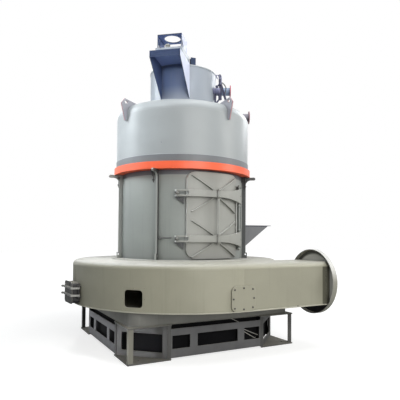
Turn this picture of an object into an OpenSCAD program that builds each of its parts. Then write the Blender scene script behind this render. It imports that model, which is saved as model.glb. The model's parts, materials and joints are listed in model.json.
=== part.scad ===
// Vertical roller grinding mill: a welded base frame, a spiral air box with a tangential
// inlet duct, a round grinding casing with a hinged access door, and a domed upper hood
// that carries the separator drum, its outlet hood and the motor stand.
// Millimetres, +Z up, +X along the inlet duct, -Y to the front; the origin is on the mill's
// axis at floor level. Azimuths are in degrees from the front (-Y), positive towards +X.

/* [Base frame] */
// Side of the square base
base_side = 2640; // [2400:10:2900]
// Length of each corner stand along the sides
stand_leg = 600; // [520:10:680]
// Height from the floor to the top of the base plate
base_h = 470; // [400:5:600]
// Thickness of the base plate and the foot plates
base_plate_t = 16; // [10:1:25]
// Width of the corner angle posts
post_w = 65; // [50:1:90]
// Thickness of the base panels and the posts
panel_t = 12; // [8:1:16]
// Gap between the floor and the side panels
panel_lift = 24; // [18:1:50]
// Height of the slot between the side panels and the base plate
slot_h = 45; // [12:1:60]
// Height of the windows in the side panels
window_h = 175; // [120:5:220]
// Width of the middle window
window_mid_w = 650; // [400:10:700]
// Width of the two outer windows
window_side_w = 266; // [150:5:300]
// Width of the bars between the windows
window_bar_w = 112; // [80:2:140]

/* [Skirt and air box] */
// Height of the skirt between base plate and air box
skirt_h = 185; // [120:5:260]
// How far the base plate stands out from the skirt
skirt_inset = 35; // [30:5:120]
// Corner radius of the skirt
skirt_r = 150; // [100:10:400]
// Height of the air box
volute_h = 630; // [560:5:800]
// Distance from the mill's axis to the front of the air box
volute_front = 1830; // [1750:10:1950]
// How much the spiral closes in over each quarter turn
volute_step = 80; // [40:5:120]
// Plate thickness of the air box
volute_t = 12; // [8:1:20]
// Radius of the rounded upper edge
volute_r = 70; // [40:5:110]
// How far the bottom flange stands out from the wall
volute_lip = 14; // [8:1:30]
// Width of the inlet duct
duct_w = 680; // [500:10:720]
// Distance from the mill's axis to the near face of the inlet flange
duct_reach = 1480; // [1420:10:1700]
// Radius of the round inlet flange
inlet_r = 488; // [484:4:560]
// Depth of the inlet flange's rim
inlet_rim = 80; // [50:5:120]

/* [Inspection openings] */
// Width of the open inspection hole and of the cover
inspect_w = 258; // [210:2:310]
// Height of the open inspection hole and of the cover
inspect_h = 224; // [190:2:280]
// Azimuth of the open inspection hole
inspect_az = -45.5; // [-60:0.5:-30]
// Sideways place of the bolted cover
cover_x = 30; // [-40:5:300]
// Size of the bolted cover
cover_w = 370; // [300:5:420]
// Azimuth of the side hatch
hatch_az = -87; // [-94:1:-82]
// Width of the side hatch
hatch_w = 400; // [340:10:460]
// Height of the side hatch
hatch_h = 310; // [270:5:340]

/* [Grinding casing] */
// Outer radius of the casing shell
casing_r = 1000; // [950:5:1050]
// Plate thickness of the casing shell
casing_t = 16; // [10:1:25]
// How far the casing's bottom flange stands out from the shell
foot_ring_out = 150; // [120:5:200]
// Thickness of the casing's bottom flange
foot_ring_t = 15; // [10:1:25]
// Azimuth of the access door's middle
door_az = 3; // [0:1:10]
// Width of the door panel
door_w = 880; // [780:10:900]
// Height of the door panel
door_h = 1270; // [1200:10:1400]
// Height of the door's lower edge above the bottom flange
door_sill = 18; // [12:1:60]
// Height from the door's upper edge to the clamp ring
door_head = 30; // [20:1:80]
// Corner radius of the door panel
door_corner = 130; // [80:5:200]
// Thickness of the door panel
door_t = 20; // [12:1:30]
// Rib depth
rib_d = 62; // [40:2:90]
// Rib thickness
rib_t = 30; // [16:2:40]

/* [Clamp ring and hood] */
// How far the clamp ring stands out from the casing
ring_out = 125; // [110:5:160]
// Height of the clamp ring
ring_h = 107; // [80:1:140]
// How far the hood stands out from the casing
hood_out = 88; // [60:2:100]
// Plate thickness of the hood
hood_t = 12; // [8:1:20]
// Height of the band above the clamp ring
band_h = 104; // [60:2:140]
// Height of the hood from the clamp ring to its flat roof
hood_h = 945; // [800:5:1100]
// Radius of the hood's rounded shoulder
hood_round = 165; // [100:5:220]
// Azimuth of the first lifting ear
ear_az = 13; // [5:1:20]

/* [Separator and drive] */
// Outer radius of the separator drum
drum_r = 550; // [480:5:600]
// Height of the separator drum
drum_h = 680; // [600:5:800]
// Azimuth of the outlet hood and the motor stand
outlet_az = -40; // [-50:1:-30]
// Width of the outlet hood
outlet_w = 465; // [380:5:520]
// How far the outlet hood stands out from the drum
outlet_out = 530; // [430:10:600]
// Height of the motor stand above the drum
stand_h = 350; // [300:5:420]
// Width of the motor stand's top plate
stand_w = 380; // [300:5:420]
// Diameter of the shaft hole in the motor stand
stand_bore = 250; // [180:5:280]

/* [Hidden] */
$fn = 128;

// clearances
seat = 0.3;            // between curved faces that lie on each other
play = 6;              // between moving and fixed pieces
over = 5;              // how far cutting tools run past a face

// colours
base_grey = [0.38, 0.38, 0.37];
box_beige = [0.64, 0.63, 0.56];
case_grey = [0.60, 0.62, 0.60];
hood_grey = [0.70, 0.72, 0.73];
ring_orange = [0.93, 0.36, 0.20];
dark_steel = [0.30, 0.32, 0.36];

// heights of the storeys
half = base_side / 2;
skirt_half = half - skirt_inset;
skirt_z = base_h;
volute_z = skirt_z + skirt_h;
volute_top = volute_z + volute_h;
volute_mid = volute_z + volute_h / 2;
casing_z = volute_top + foot_ring_t;
door_z0 = casing_z + door_sill;
ring_z = door_z0 + door_h + door_head;
band_z = ring_z + ring_h;
hood_top = band_z + hood_h;
drum_top = hood_top + drum_h;

// radii of the round storeys, all from the casing's
foot_ring_r = casing_r + foot_ring_out;
ring_r = casing_r + ring_out;
hood_r = casing_r + hood_out;

// ---------------------------------------------------------------- shared shapes

// rectangle about the origin with rounded corners, as plain squares and circles
module round_rect(w, h, r) {
    square([w - 2 * r, h], center = true);
    square([w, h - 2 * r], center = true);
    for (x = [-1, 1], y = [-1, 1])
        translate([x * (w / 2 - r), y * (h / 2 - r)]) circle(r);
}

// upright prism of a 2D outline in the XZ plane, from y = -far to y = -near
module towards_front(near, far) {
    translate([0, -near, 0]) rotate([90, 0, 0]) linear_extrude(far - near) children();
}

// curved wall between two azimuths
module arc_wall(r_in, r_out, az0, az1, z0, z1) {
    rotate([0, 0, az0 - 90]) rotate_extrude(angle = az1 - az0)
        translate([r_in, z0]) square([r_out - r_in, z1 - z0]);
}

// full ring
module ring(r_in, r_out, z0, z1) {
    difference() {
        translate([0, 0, z0]) cylinder(r = r_out, h = z1 - z0);
        translate([0, 0, z0 - over]) cylinder(r = r_in, h = z1 - z0 + 2 * over);
    }
}

// ---------------------------------------------------------------- base frame

// one corner's right-angled triangle, tip at the origin, legs along +X and +Y
module corner_triangle(leg) {
    polygon([[0, 0], [leg, 0], [0, leg]]);
}

// the frame stands a little off the mill's axis
base_place = [-36, 17, 0];
module on_base() translate(base_place) children();

// places a piece at the four corners of the base
module at_corners() {
    on_base() for (a = [0:90:270]) rotate([0, 0, a]) translate([-half, -half, 0]) children();
}

bolt_half = 1170;      // anchor bolts, about the mill's axis
bolt_hole_r = 17;

module foot_plates() color(base_grey) difference() {
    at_corners() linear_extrude(base_plate_t) corner_triangle(stand_leg);
    for (x = [-1, 1], y = [-1, 1]) translate([x * bolt_half, y * bolt_half, -over])
        cylinder(r = bolt_hole_r, h = base_plate_t + 2 * over);
}

post_inset = 12;       // posts stand back from the plate's edges
post_top = base_h - base_plate_t;

// angle post just inside the tip of each stand, and flat posts at the ends of its legs
stand_post_w = 52;
module stand_posts() color(base_grey) at_corners() {
    translate([post_inset, post_inset, base_plate_t])
        linear_extrude(post_top - base_plate_t) difference() {
            square(post_w);
            translate([panel_t, panel_t]) square(post_w);
        }
    for (m = [0, 1]) mirror([m, -m, 0])
        translate([stand_leg - stand_post_w, post_inset, base_plate_t])
            cube([stand_post_w, panel_t, post_top - base_plate_t]);
}

// windowed panel across each corner, behind the tip and flush with the end posts
corner_window_w = 600;
corner_window_h = 244;
corner_window_z = 92;
corner_near = post_inset + panel_t + seat;
corner_far = stand_leg - stand_post_w;
corner_slant = panel_t * sqrt(2);
module corner_panels() color(base_grey) at_corners() difference() {
    translate([0, 0, base_plate_t]) linear_extrude(post_top - base_plate_t) polygon([
        [corner_far, corner_near], [corner_far + corner_slant, corner_near],
        [corner_near, corner_far + corner_slant], [corner_near, corner_far]]);
    translate([(corner_far + corner_near) / 2, (corner_far + corner_near) / 2, corner_window_z])
        rotate([0, 0, -45]) translate([-corner_window_w / 2, -2 * panel_t, 0])
            cube([corner_window_w, 4 * panel_t, corner_window_h]);
}

// three-window panel between two stands
panel_len = base_side - 2 * stand_leg;
panel_h = post_top - slot_h - panel_lift;
window_sill = 118;
module side_panel(turn) {
    window_z = panel_lift + window_sill;
    on_base() rotate([0, 0, turn]) difference() {
        translate([-panel_len / 2, -half + post_inset, panel_lift])
            cube([panel_len, panel_t, panel_h]);
        translate([-window_mid_w / 2, -half + post_inset - over, window_z])
            cube([window_mid_w, panel_t + 2 * over, window_h]);
        for (s = [-1, 1])
            translate([s * (window_mid_w / 2 + window_bar_w + window_side_w / 2)
                    - window_side_w / 2, -half + post_inset - over, window_z])
                cube([window_side_w, panel_t + 2 * over, window_h]);
    }
}

module side_panel_front() color(base_grey) side_panel(0);
module side_panel_right() color(base_grey) side_panel(90);
module side_panel_back() color(base_grey) side_panel(180);
module side_panel_left() color(base_grey) side_panel(-90);

// plate on the feet, cut back under the skirt between them, with a round hole in the middle
base_hole_r = 800;
plate_cut = 70;
module base_plate() color(base_grey) difference() {
    on_base() translate([-half, -half, post_top]) cube([base_side, base_side, base_plate_t]);
    on_base() for (a = [0:90:270]) rotate([0, 0, a])
        translate([-panel_len / 2, -half - over, post_top - over])
            cube([panel_len, plate_cut + over, base_plate_t + 2 * over]);
    translate([0, 0, post_top - over]) cylinder(r = base_hole_r, h = base_plate_t + 2 * over);
}

// eight-sided screen of plain plate that closes off the drive's pit behind the windows
pit_gap = 60;
pit_half = half - post_inset - panel_t - pit_gap;
pit_corner = (2 * half - corner_far - corner_near - corner_slant) / sqrt(2) - pit_gap;
module pit_wall(g) on_base() translate([0, 0, panel_lift - g])
    linear_extrude(post_top - seat - panel_lift + 2 * g) intersection() {
        square(2 * (pit_half - g), center = true);
        rotate(45) square(2 * (pit_corner - g), center = true);
    }
module pit_screen() color(dark_steel) difference() {
    pit_wall(0);
    pit_wall(panel_t);
}

module skirt_outline(g) translate([base_place[0], base_place[1]])
    round_rect(2 * (skirt_half - g), 2 * (skirt_half - g), skirt_r - g);
module skirt() color(base_grey) translate([0, 0, skirt_z]) linear_extrude(skirt_h) difference() {
    skirt_outline(0);
    skirt_outline(panel_t);
}

// ---------------------------------------------------------------- air box

// The wall is a four-centre spiral: each quarter is an arc, its centre on a small square
// and its radius one step shorter than the last. Quarter 0 runs from the front to the
// left, then back, right and front again, where it meets the inlet duct.
volute_c = volute_step / 2;
quarter_r0 = volute_front - volute_c;
function quarter_r(i) = quarter_r0 - i * volute_step;
function quarter_c(i) = [[volute_c, -volute_c], [-volute_c, -volute_c],
    [-volute_c, volute_c], [volute_c, volute_c]][i];
// azimuth at which quarter i starts, running clockwise as seen from above
function quarter_az(i) = -90 * (i + 1);
duct_back = volute_front - duct_w;
// the last quarter stops where it meets the duct's inner wall
tongue_az = acos((duct_back + volute_c) / quarter_r(3));
function quarter_end(i) = i < 3 ? quarter_az(i) : tongue_az - 360;
tongue_x = volute_c + quarter_r(3) * sin(tongue_az);

// sweeps a profile drawn at x = 0 on the wall's outer face, outwards +x
module sweep_quarter(i) {
    translate(quarter_c(i)) rotate([0, 0, quarter_end(i) - 90])
        rotate_extrude(angle = i < 3 ? 90 : 90 - tongue_az)
            translate([quarter_r(i), 0]) {
                children();
            }
}

// flat outline of the air box and duct, grown outwards by g
module quarter_sector(i, g) {
    translate(quarter_c(i)) intersection() {
        circle(quarter_r(i) + g);
        rotate([0, 0, quarter_az(i) - 90]) square(2 * volute_front);
    }
}

module volute_outline(g, duct_end) {
    for (i = [0:3]) quarter_sector(i, g);
    square(2 * volute_c + over, center = true);
    translate([0, -volute_front - g]) square([duct_end, duct_w + 2 * g]);
}

module volute_floor() color(box_beige) translate([0, 0, volute_z]) linear_extrude(volute_t) {
    volute_outline(volute_lip, duct_len);
    skirt_outline(-volute_lip / 2);
}

wall_z0 = volute_z + volute_t;
wall_z1 = volute_top - volute_r;
module volute_wall(i)
    sweep_quarter(i) translate([-volute_t, wall_z0]) square([volute_t, wall_z1 - wall_z0]);

inspect_bolt_r = 5;
inspect_bolt_gap = 26;
wall_reach = 300;      // how far cuts through the round wall run to each side of it
module inspect_cut() rotate([0, 0, inspect_az]) translate([0, 0, inspect_z])
    towards_front(volute_front - wall_reach, volute_front + wall_reach) {
        round_rect(inspect_w, inspect_h, inspect_corner);
        for (x = [-1:1], y = [-1:1]) if (x != 0 || y != 0)
            translate([x * (inspect_w / 2 + inspect_bolt_gap),
                    y * (inspect_h / 2 + inspect_bolt_gap)])
                circle(inspect_bolt_r);
    }

inspect_up = 181;
inspect_z = volute_z + inspect_up;
inspect_corner = 45;
module volute_wall_front_left() color(box_beige) difference() {
    volute_wall(0);
    inspect_cut();
    hatch_cut();
}

module volute_wall_back_left() color(box_beige) difference() {
    volute_wall(1);
    hatch_cut();
}
module volute_wall_back_right() color(box_beige) volute_wall(2);
module volute_wall_front_right() color(box_beige) volute_wall(3);

// quarter-round upper edge of the air box, outer face at x = 0
module edge_arc() translate([-volute_r, wall_z1]) intersection() {
    difference() {
        circle(volute_r);
        circle(volute_r - volute_t);
    }
    square(volute_r + over);
}

duct_len = duct_reach + inlet_rim - volute_t - 1;
duct_y = -volute_front + duct_w / 2;
roof_hole_r = casing_r - casing_t;
roof_core = roof_hole_r - 3 * volute_step;
plate_z = volute_top - volute_t;
lap = 100;             // how far the duct's plate runs into its neighbours
function in_quarter_3(az, r) = quarter_c(3) + r * [sin(az), -cos(az)];
// each quarter and the duct is its rounded edge with the flat strip beside it
module volute_roof() color(box_beige) difference() {
    union() {
        for (i = [0:3]) sweep_quarter(i) {
            edge_arc();
            translate([roof_core - quarter_r(i), plate_z])
                square([quarter_r(i) - volute_r - roof_core, volute_t]);
        }
        translate([volute_c, -volute_front, 0]) rotate([90, 0, 90])
            linear_extrude(duct_len - volute_c) mirror([1, 0]) edge_arc();
        translate([0, 0, plate_z]) linear_extrude(volute_t) polygon([
            [volute_c - lap, volute_c], [volute_c - lap, -volute_front + volute_r + lap],
            [volute_c, -volute_front + volute_r], [duct_len, -volute_front + volute_r],
            [duct_len, -duct_back], in_quarter_3(tongue_az, quarter_r(3)),
            in_quarter_3(tongue_az, quarter_r(3) - volute_r),
            in_quarter_3(tongue_az + 5, quarter_r(3) - volute_r - lap), [volute_c, volute_c]]);
    }
    translate([0, 0, plate_z - over]) cylinder(r = roof_hole_r, h = volute_t + 2 * over);
}

module inlet_duct_walls() color(box_beige) {
    translate([volute_c, -volute_front, wall_z0])
        cube([duct_len - volute_c, volute_t, wall_z1 - wall_z0]);
    translate([tongue_x + 1, -duct_back - volute_t, wall_z0])
        cube([duct_len - tongue_x - 1, volute_t, plate_z - wall_z0]);
}

module inlet_flange() color(box_beige) translate([duct_reach, duct_y, volute_mid])
    rotate([90, 0, 90]) difference() {
        cylinder(r = inlet_r, h = inlet_rim);
        translate([0, 0, -over]) cylinder(r = inlet_r - volute_t, h = inlet_rim - volute_t + over);
        translate([0, 0, inlet_rim - volute_t - over]) linear_extrude(volute_t + 2 * over)
            square([duct_w - 2 * volute_t, volute_h - 2 * volute_t], center = true);
    }

// bolted cover: flat in front, its back follows the wall
cover_proud = 15;
cover_h = 330;
cover_corner = 70;
cover_up = 177;
module inspection_cover() color(box_beige) difference() {
    translate([cover_x, 0, volute_z + cover_up])
        towards_front(volute_front - cover_corner, volute_front + cover_proud)
            round_rect(cover_w, cover_h, cover_corner);
    translate([volute_c, -volute_c, volute_z])
        cylinder(r = quarter_r(0) + seat, h = volute_h, $fn = 720);
    translate([volute_c, -volute_front - seat, volute_z]) cube([duct_w, duct_w, volute_h]);
}

// ---------------------------------------------------------------- side hatch

// A short square neck stands out of the wall, closed by a plate on two bent straps. The
// straps turn on a pin beside the neck and are held by a long bolt at their far ends.
hatch_up = 175;
hatch_z = volute_z + hatch_up;
hatch_wall_r = quarter_r0 - volute_c;
neck_out = 95;
hatch_face = hatch_wall_r + neck_out;
neck_inset = 10;
neck_w = hatch_w - 2 * neck_inset;
neck_h = hatch_h - 2 * neck_inset;
neck_t = 20;
neck_corner = 30;
module hatch_place() rotate([0, 0, hatch_az]) translate([0, 0, hatch_z]) children();
module hatch_cut() hatch_place() towards_front(hatch_wall_r - wall_reach, hatch_face + over)
    round_rect(neck_w - 2 * neck_t, neck_h - 2 * neck_t, neck_corner);
module inside_wall(i) translate(quarter_c(i))
    cylinder(r = quarter_r(i) + seat, h = 2 * volute_top, $fn = 720);

hatch_t = 14;
hatch_back = hatch_face + over;
strap_h = 26;
strap_t = 20;
strap_low = 32;
strap_high = 70;
strap_zs = [-strap_low, strap_high];
strap_over = 45;       // how far the straps run past the plate
strap_tip = -hatch_w / 2 - strap_over;
strap_out = hatch_back + hatch_t + strap_t;
clamp_r = 9;
clamp_x = strap_tip + 2.2 * clamp_r;
clamp_foot = hatch_wall_r + 30;
clamp_bar = 40;
clamp_side = 15;
hatch_pin_r = 11;
hatch_barrel_r = 22;
hatch_pin = [hatch_w / 2 + hatch_barrel_r + 4, -(hatch_wall_r + hatch_barrel_r + 3)];
strap_arm = 24;
module hatch_frame() color(box_beige) difference() {
    hatch_place() {
        towards_front(hatch_wall_r - wall_reach / 2, hatch_face)
            round_rect(neck_w, neck_h, neck_corner + neck_inset);
        for (z = strap_zs) translate([clamp_x - clamp_side, -clamp_foot, z - clamp_bar / 2])
            cube([neck_inset + clamp_side + strap_over, wall_reach / 2, clamp_bar]);
    }
    for (i = [0, 1]) inside_wall(i);
    hatch_cut();
}

module hatch_door() color(box_beige) hatch_place() {
    towards_front(hatch_back, hatch_back + hatch_t)
        round_rect(hatch_w, hatch_h, neck_corner + 2 * neck_inset);
    for (z = strap_zs) translate([0, 0, z - strap_h / 2]) hatch_strap();
}
module hatch_strap() {
    difference() {
        linear_extrude(strap_h) {
            translate([strap_tip, -strap_out])
                square([hatch_pin[0] + strap_arm / 2 - strap_tip, strap_t]);
            translate([hatch_pin[0] - strap_arm / 2, -strap_out])
                square([strap_arm, strap_out + hatch_pin[1]]);
            translate(hatch_pin) circle(hatch_barrel_r);
        }
        translate([hatch_pin[0], hatch_pin[1], -over])
            cylinder(r = hatch_pin_r + seat, h = strap_h + 2 * over);
    }
    translate([clamp_x, 0, strap_h / 2]) {
        towards_front(clamp_foot + over, strap_out + 2.5 * clamp_r) circle(clamp_r);
        towards_front(strap_out, strap_out + 1.5 * clamp_r) circle(2 * clamp_r, $fn = 6);
    }
}

// pin between two lugs that stand on the wall
hatch_lug_t = 14;
module hatch_hinge() color(box_beige) difference() {
    hatch_place() {
        z0 = strap_zs[0] - strap_h / 2 - play - hatch_lug_t;
        z1 = strap_zs[1] + strap_h / 2 + play;
        translate([hatch_pin[0], hatch_pin[1], z0 - hatch_pin_r])
            cylinder(r = hatch_pin_r, h = z1 - z0 + hatch_lug_t + 2 * hatch_pin_r);
        for (z = [z0, z1]) translate([hatch_pin[0] - hatch_barrel_r, hatch_pin[1] - 18, z])
            cube([2 * hatch_barrel_r, wall_reach / 2, hatch_lug_t]);
    }
    inside_wall(0);
}

// ---------------------------------------------------------------- grinding casing

module casing_foot_ring() color(case_grey)
    ring(casing_r - casing_t, foot_ring_r, volute_top, casing_z);

door_over = 90;        // how far the door laps over the doorway's sides
door_over_z = 60;      // the same above and below
opening_w = door_w - 2 * door_over;
opening_h = door_h - 2 * door_over_z;
opening_z0 = door_z0 + door_over_z;
opening_half = asin(opening_w / 2 / casing_r);
rib_span = 49;         // from the door's middle to the first rib
rib_pitch = (360 - 2 * rib_span) / 5;

casing_top = ring_z - seat;
module casing_wall(az0, az1, z0, z1)
    arc_wall(casing_r - casing_t, casing_r, door_az + az0, door_az + az1, z0, z1);

module casing_below_door() color(case_grey)
    casing_wall(-opening_half, opening_half, casing_z + seat, opening_z0);
module casing_above_door() color(case_grey)
    casing_wall(-opening_half, opening_half, opening_z0 + opening_h, casing_top);
side_end = rib_span + rib_pitch;
module casing_left() color(case_grey)
    casing_wall(-side_end, -opening_half, casing_z + seat, casing_top);
module casing_right() color(case_grey) difference() {
    casing_wall(opening_half, side_end, casing_z + seat, casing_top);
    feed_port();
}
module casing_back() color(case_grey)
    casing_wall(side_end, 360 - side_end, casing_z + seat, casing_top);

// upright rib with a foot pad below and a clamp lug above, drawn in its own plane
lug_reach = 219;
lug_tip_r = 22;
lug_end = lug_reach - lug_tip_r;
lug_curve_r = 80;
rib_foot_w = 86;
rib_foot_h = 90;
rib_hole_r = 13;
rib_h = ring_z - casing_z - 1;
lug_curve_z = rib_h - 2 * lug_tip_r - lug_curve_r;
module rib_plate() difference() {
    union() {
        square([rib_d, rib_h]);
        square([rib_foot_w, rib_foot_h]);
        translate([0, lug_curve_z]) square([rib_d + lug_curve_r, rib_h - lug_curve_z]);
        translate([0, rib_h - 2 * lug_tip_r]) square([lug_end, 2 * lug_tip_r]);
        translate([lug_end, rib_h - lug_tip_r]) circle(lug_tip_r);
    }
    translate([rib_d + lug_curve_r, lug_curve_z]) circle(lug_curve_r);
    translate([rib_foot_w - 2 * rib_hole_r, rib_foot_h - 2 * rib_hole_r - 4]) circle(rib_hole_r);
    translate([rib_d + 8, rib_h - 2 * lug_tip_r - 5]) circle(rib_hole_r);
}

module casing_ribs() color(case_grey) for (i = [0:5])
    rotate([0, 0, door_az + rib_span + i * rib_pitch]) translate([rib_t / 2, -casing_r - seat, casing_z])
        rotate([90, 0, -90]) linear_extrude(rib_t) rib_plate();

// ---------------------------------------------------------------- access door

module door_place() rotate([0, 0, door_az]) translate([0, 0, door_z0 + door_h / 2]) children();
frame_t = 18;
frame_inset = 28;
frame_r = casing_r + seat + frame_t;
door_gap = 5;
door_in = frame_r + door_gap;
door_out = door_in + door_t;

module door_frame() color(case_grey) door_place() difference() {
    intersection() {
        ring(casing_r + seat, frame_r, -door_h, door_h);
        towards_front(casing_r / 2, frame_r + over)
            round_rect(door_w - 2 * frame_inset, door_h - 2 * frame_inset, door_corner - frame_inset);
    }
    towards_front(casing_r / 2 - over, frame_r + 2 * over)
        round_rect(opening_w, opening_h, door_corner / 2);
}

// diagonal stiffeners on the panel, running to each arm
stiff_t = 12;
stiff_d = 34;
stiff_end_x = door_w / 2 - 60;
stiff_end_z = 265;
stiff_root_x = 55;
module stiffener(from, to) {
    run = to - from;
    translate(from) rotate(atan2(run[1], run[0])) translate([0, -stiff_t / 2])
        square([norm(run), stiff_t]);
}

arm_spread = 660;      // between the two arms
arm_down = 15;         // their middle below the door's
arm_zs = [-arm_down - arm_spread / 2, -arm_down + arm_spread / 2];
arm_half = 48;
arm_t = 10;
arm_depth = 66;
arm_tall = 4 * arm_half; // more than any arm's half height
module door_panel() color(case_grey) door_place() {
    intersection() {
        ring(door_in, door_out, -door_h, door_h);
        towards_front(door_in / 2, door_out + over) round_rect(door_w, door_h, door_corner);
    }
    intersection() {
        ring(door_out - 1, door_out + stiff_d, -door_h, door_h);
        towards_front(door_in / 2, door_out + 2 * stiff_d) for (z = arm_zs, s = [-1, 1], t = [-1, 1])
            stiffener([s * stiff_end_x, z + t * stiff_end_z],
                [s * stiff_root_x, z + t * (arm_half + stiff_t)]);
    }
}

// arm outline: straight on the latch side, flaring like a trumpet towards the hinge
hinge_out = 85;
hinge_beside = 27;
hinge_r = casing_r + hinge_out;
hinge_x = door_w / 2 + hinge_beside;
hinge_az = asin(hinge_x / hinge_r);
hinge_y = -hinge_r * cos(hinge_az);
hinge_pin_r = 14;
barrel_r = 26;
barrel_half = 105;
arm_end = hinge_x + barrel_r + play + 1;
arm_left = -door_w / 2;
flare_x = 60;
flare_r = 1380;
module arm_outline(g) {
    translate([arm_left + g, -arm_half + g]) square([flare_x - arm_left, 2 * (arm_half - g)]);
    difference() {
        translate([flare_x - over, -arm_tall]) square([arm_end - flare_x + over - g, 2 * arm_tall]);
        for (s = [-1, 1]) translate([flare_x, s * (arm_half + flare_r)])
            circle(flare_r + g, $fn = 400);
    }
}

fork_len = 160;
fork_t = 20;
fork_slot = 54;
fork_in = 24;
module door_arms() color(case_grey) door_place() {
    for (z = arm_zs) translate([0, 0, z]) door_arm();
    door_centre_rod();
}
module door_arm() difference() {
    union() {
        difference() {
            intersection() {
                ring(door_out + seat, door_out + arm_depth, -arm_tall, arm_tall);
                towards_front(door_in / 2, door_out + 2 * arm_depth) arm_outline(0);
            }
            intersection() {
                ring(door_in, door_out + arm_depth - arm_t, -arm_tall, arm_tall);
                towards_front(door_in / 2, door_out + 2 * arm_depth) arm_outline(arm_t);
            }
        }
        translate([hinge_x, hinge_y, -barrel_half]) cylinder(r = barrel_r, h = 2 * barrel_half);
        for (s = [-1, 1]) intersection() {
            ring(door_out + fork_in, door_out + arm_depth, -arm_tall, arm_tall);
            translate([0, 0, s * (fork_slot / 2 + fork_t / 2)])
                towards_front(door_in / 2, door_out + 2 * arm_depth)
                    translate([arm_left - fork_len, -fork_t / 2]) square([fork_len + fork_t, fork_t]);
        }
    }
    translate([hinge_x, hinge_y, -arm_tall]) cylinder(r = hinge_pin_r + seat, h = 2 * arm_tall);
}

// upright rod through both arms
rod_r = 14;
rod_below = 85;
rod_above = 50;
module door_centre_rod()
    translate([0, -(door_out + arm_depth + rod_r + seat), arm_zs[0] - rod_below])
        cylinder(r = rod_r, h = arm_spread + rod_below + rod_above);

// hinge: a long pin through four lugs, and the upright plate that joins them to the shell
hinge_plate_az = hinge_az + 5.5;
hinge_plate_out = casing_r + 60;
hinge_plate_t = 10;
lug_t = 16;
lug_r = 30;
lug_gap = 32;          // between a barrel's end and the lug beside it
lug_root = 130;
pin_over = 60;
function on_plate(r) = [r * sin(hinge_plate_az), -r * cos(hinge_plate_az)];
module hinge_lug(z) translate([0, 0, z]) linear_extrude(lug_t) {
    translate([hinge_x, hinge_y]) circle(lug_r);
    polygon([[hinge_x - 0.6 * lug_r, hinge_y], [hinge_x - 0.6 * lug_r, -casing_r + lug_root],
        on_plate(casing_r - hinge_plate_t), on_plate(hinge_plate_out - hinge_plate_t),
        [hinge_x + 0.6 * lug_r, hinge_y - 0.6 * lug_r]]);
}
module door_hinge() color(case_grey) door_place() difference() {
    union() {
        translate([hinge_x, hinge_y, arm_zs[0] - barrel_half - pin_over])
            cylinder(r = hinge_pin_r, h = arm_spread + 2 * (barrel_half + pin_over));
        for (z = arm_zs) {
            hinge_lug(z + barrel_half + lug_gap);
            hinge_lug(z - barrel_half - lug_gap - lug_t);
        }
        rotate([0, 0, hinge_plate_az])
            translate([-hinge_plate_t / 2, -hinge_plate_out, arm_zs[0] - barrel_half - pin_over + over])
                cube([hinge_plate_t, 2 * hinge_out,
                    arm_spread + 2 * (barrel_half + pin_over - over)]);
    }
    translate([0, 0, -door_h]) cylinder(r = casing_r + seat, h = 2 * door_h);
}

// swing-bolt brackets that take the forks
latch_r = 10;
latch_x = arm_left - fork_len + 1.5 * latch_r;
latch_az = asin(latch_x / (door_out + arm_depth / 2 + 1.2 * latch_r));
latch_nut_r = 20;
latch_foot = 60;
module door_latches() color(case_grey) door_place() for (z = arm_zs) translate([0, 0, z])
    rotate([0, 0, latch_az]) difference() {
        union() {
            towards_front(casing_r / 2, door_out + arm_depth + 2 * latch_nut_r) circle(latch_r);
            towards_front(door_out + arm_depth + 12, door_out + arm_depth + 30)
                circle(latch_nut_r, $fn = 6);
            translate([-1.4 * latch_r, -casing_r - latch_foot, -latch_nut_r])
                cube([2.8 * latch_r, 2 * latch_foot, 2 * latch_nut_r]);
        }
        translate([0, 0, -arm_tall]) cylinder(r = casing_r + seat, h = 2 * arm_tall);
    }

// ---------------------------------------------------------------- feed hopper

hopper_az = 78;
hopper_w = 420;
hopper_up = 560;
hopper_top = volute_top + hopper_up;
hopper_h = 420;
hopper_bottom = hopper_top - hopper_h;
hopper_out = 480;
hopper_reach = casing_r + hopper_out;
hopper_t = 8;
hopper_lip = 45;
hopper_root = casing_r - 30;
port_w = 300;
port_h = 250;
port_up = 80;
module feed_port() rotate([0, 0, hopper_az])
    translate([-port_w / 2, -hopper_reach, hopper_bottom + port_up])
        cube([port_w, 2 * hopper_out, port_h]);
// upright sheet along the hopper, from a 2D outline of reach and height
module hopper_sheet(x, w) translate([x, 0, 0]) rotate([90, 0, -90]) mirror([0, 0, 1])
    linear_extrude(w) children();
module feed_hopper() color(case_grey) rotate([0, 0, hopper_az]) difference() {
    union() {
        for (x = [-hopper_w / 2, hopper_w / 2 - hopper_t]) hopper_sheet(x, hopper_t)
            polygon([[hopper_root, hopper_bottom], [hopper_reach, hopper_top],
                [hopper_root, hopper_top]]);
        hopper_sheet(-hopper_w / 2, hopper_w)
            polygon([[hopper_root, hopper_bottom], [hopper_reach, hopper_top],
                [hopper_reach - 2 * hopper_t, hopper_top],
                [hopper_root, hopper_bottom + 2 * hopper_t]]);
        translate([-hopper_w / 2, -hopper_reach - hopper_lip, hopper_top - hopper_t])
            cube([hopper_w, hopper_lip + 2 * hopper_t, hopper_t]);
    }
    cylinder(r = casing_r + seat, h = 2 * hopper_top);
}

// ---------------------------------------------------------------- clamp ring and hood

module clamp_ring() color(ring_orange) ring(casing_r - casing_t, ring_r, ring_z, band_z);

band_proud = 6;
module hood_band() color(dark_steel)
    ring(hood_r + seat, hood_r + band_proud, band_z, band_z + band_h);

module hood_shell() color(hood_grey)
    ring(hood_r - hood_t, hood_r, band_z, hood_top - hood_round);

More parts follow.
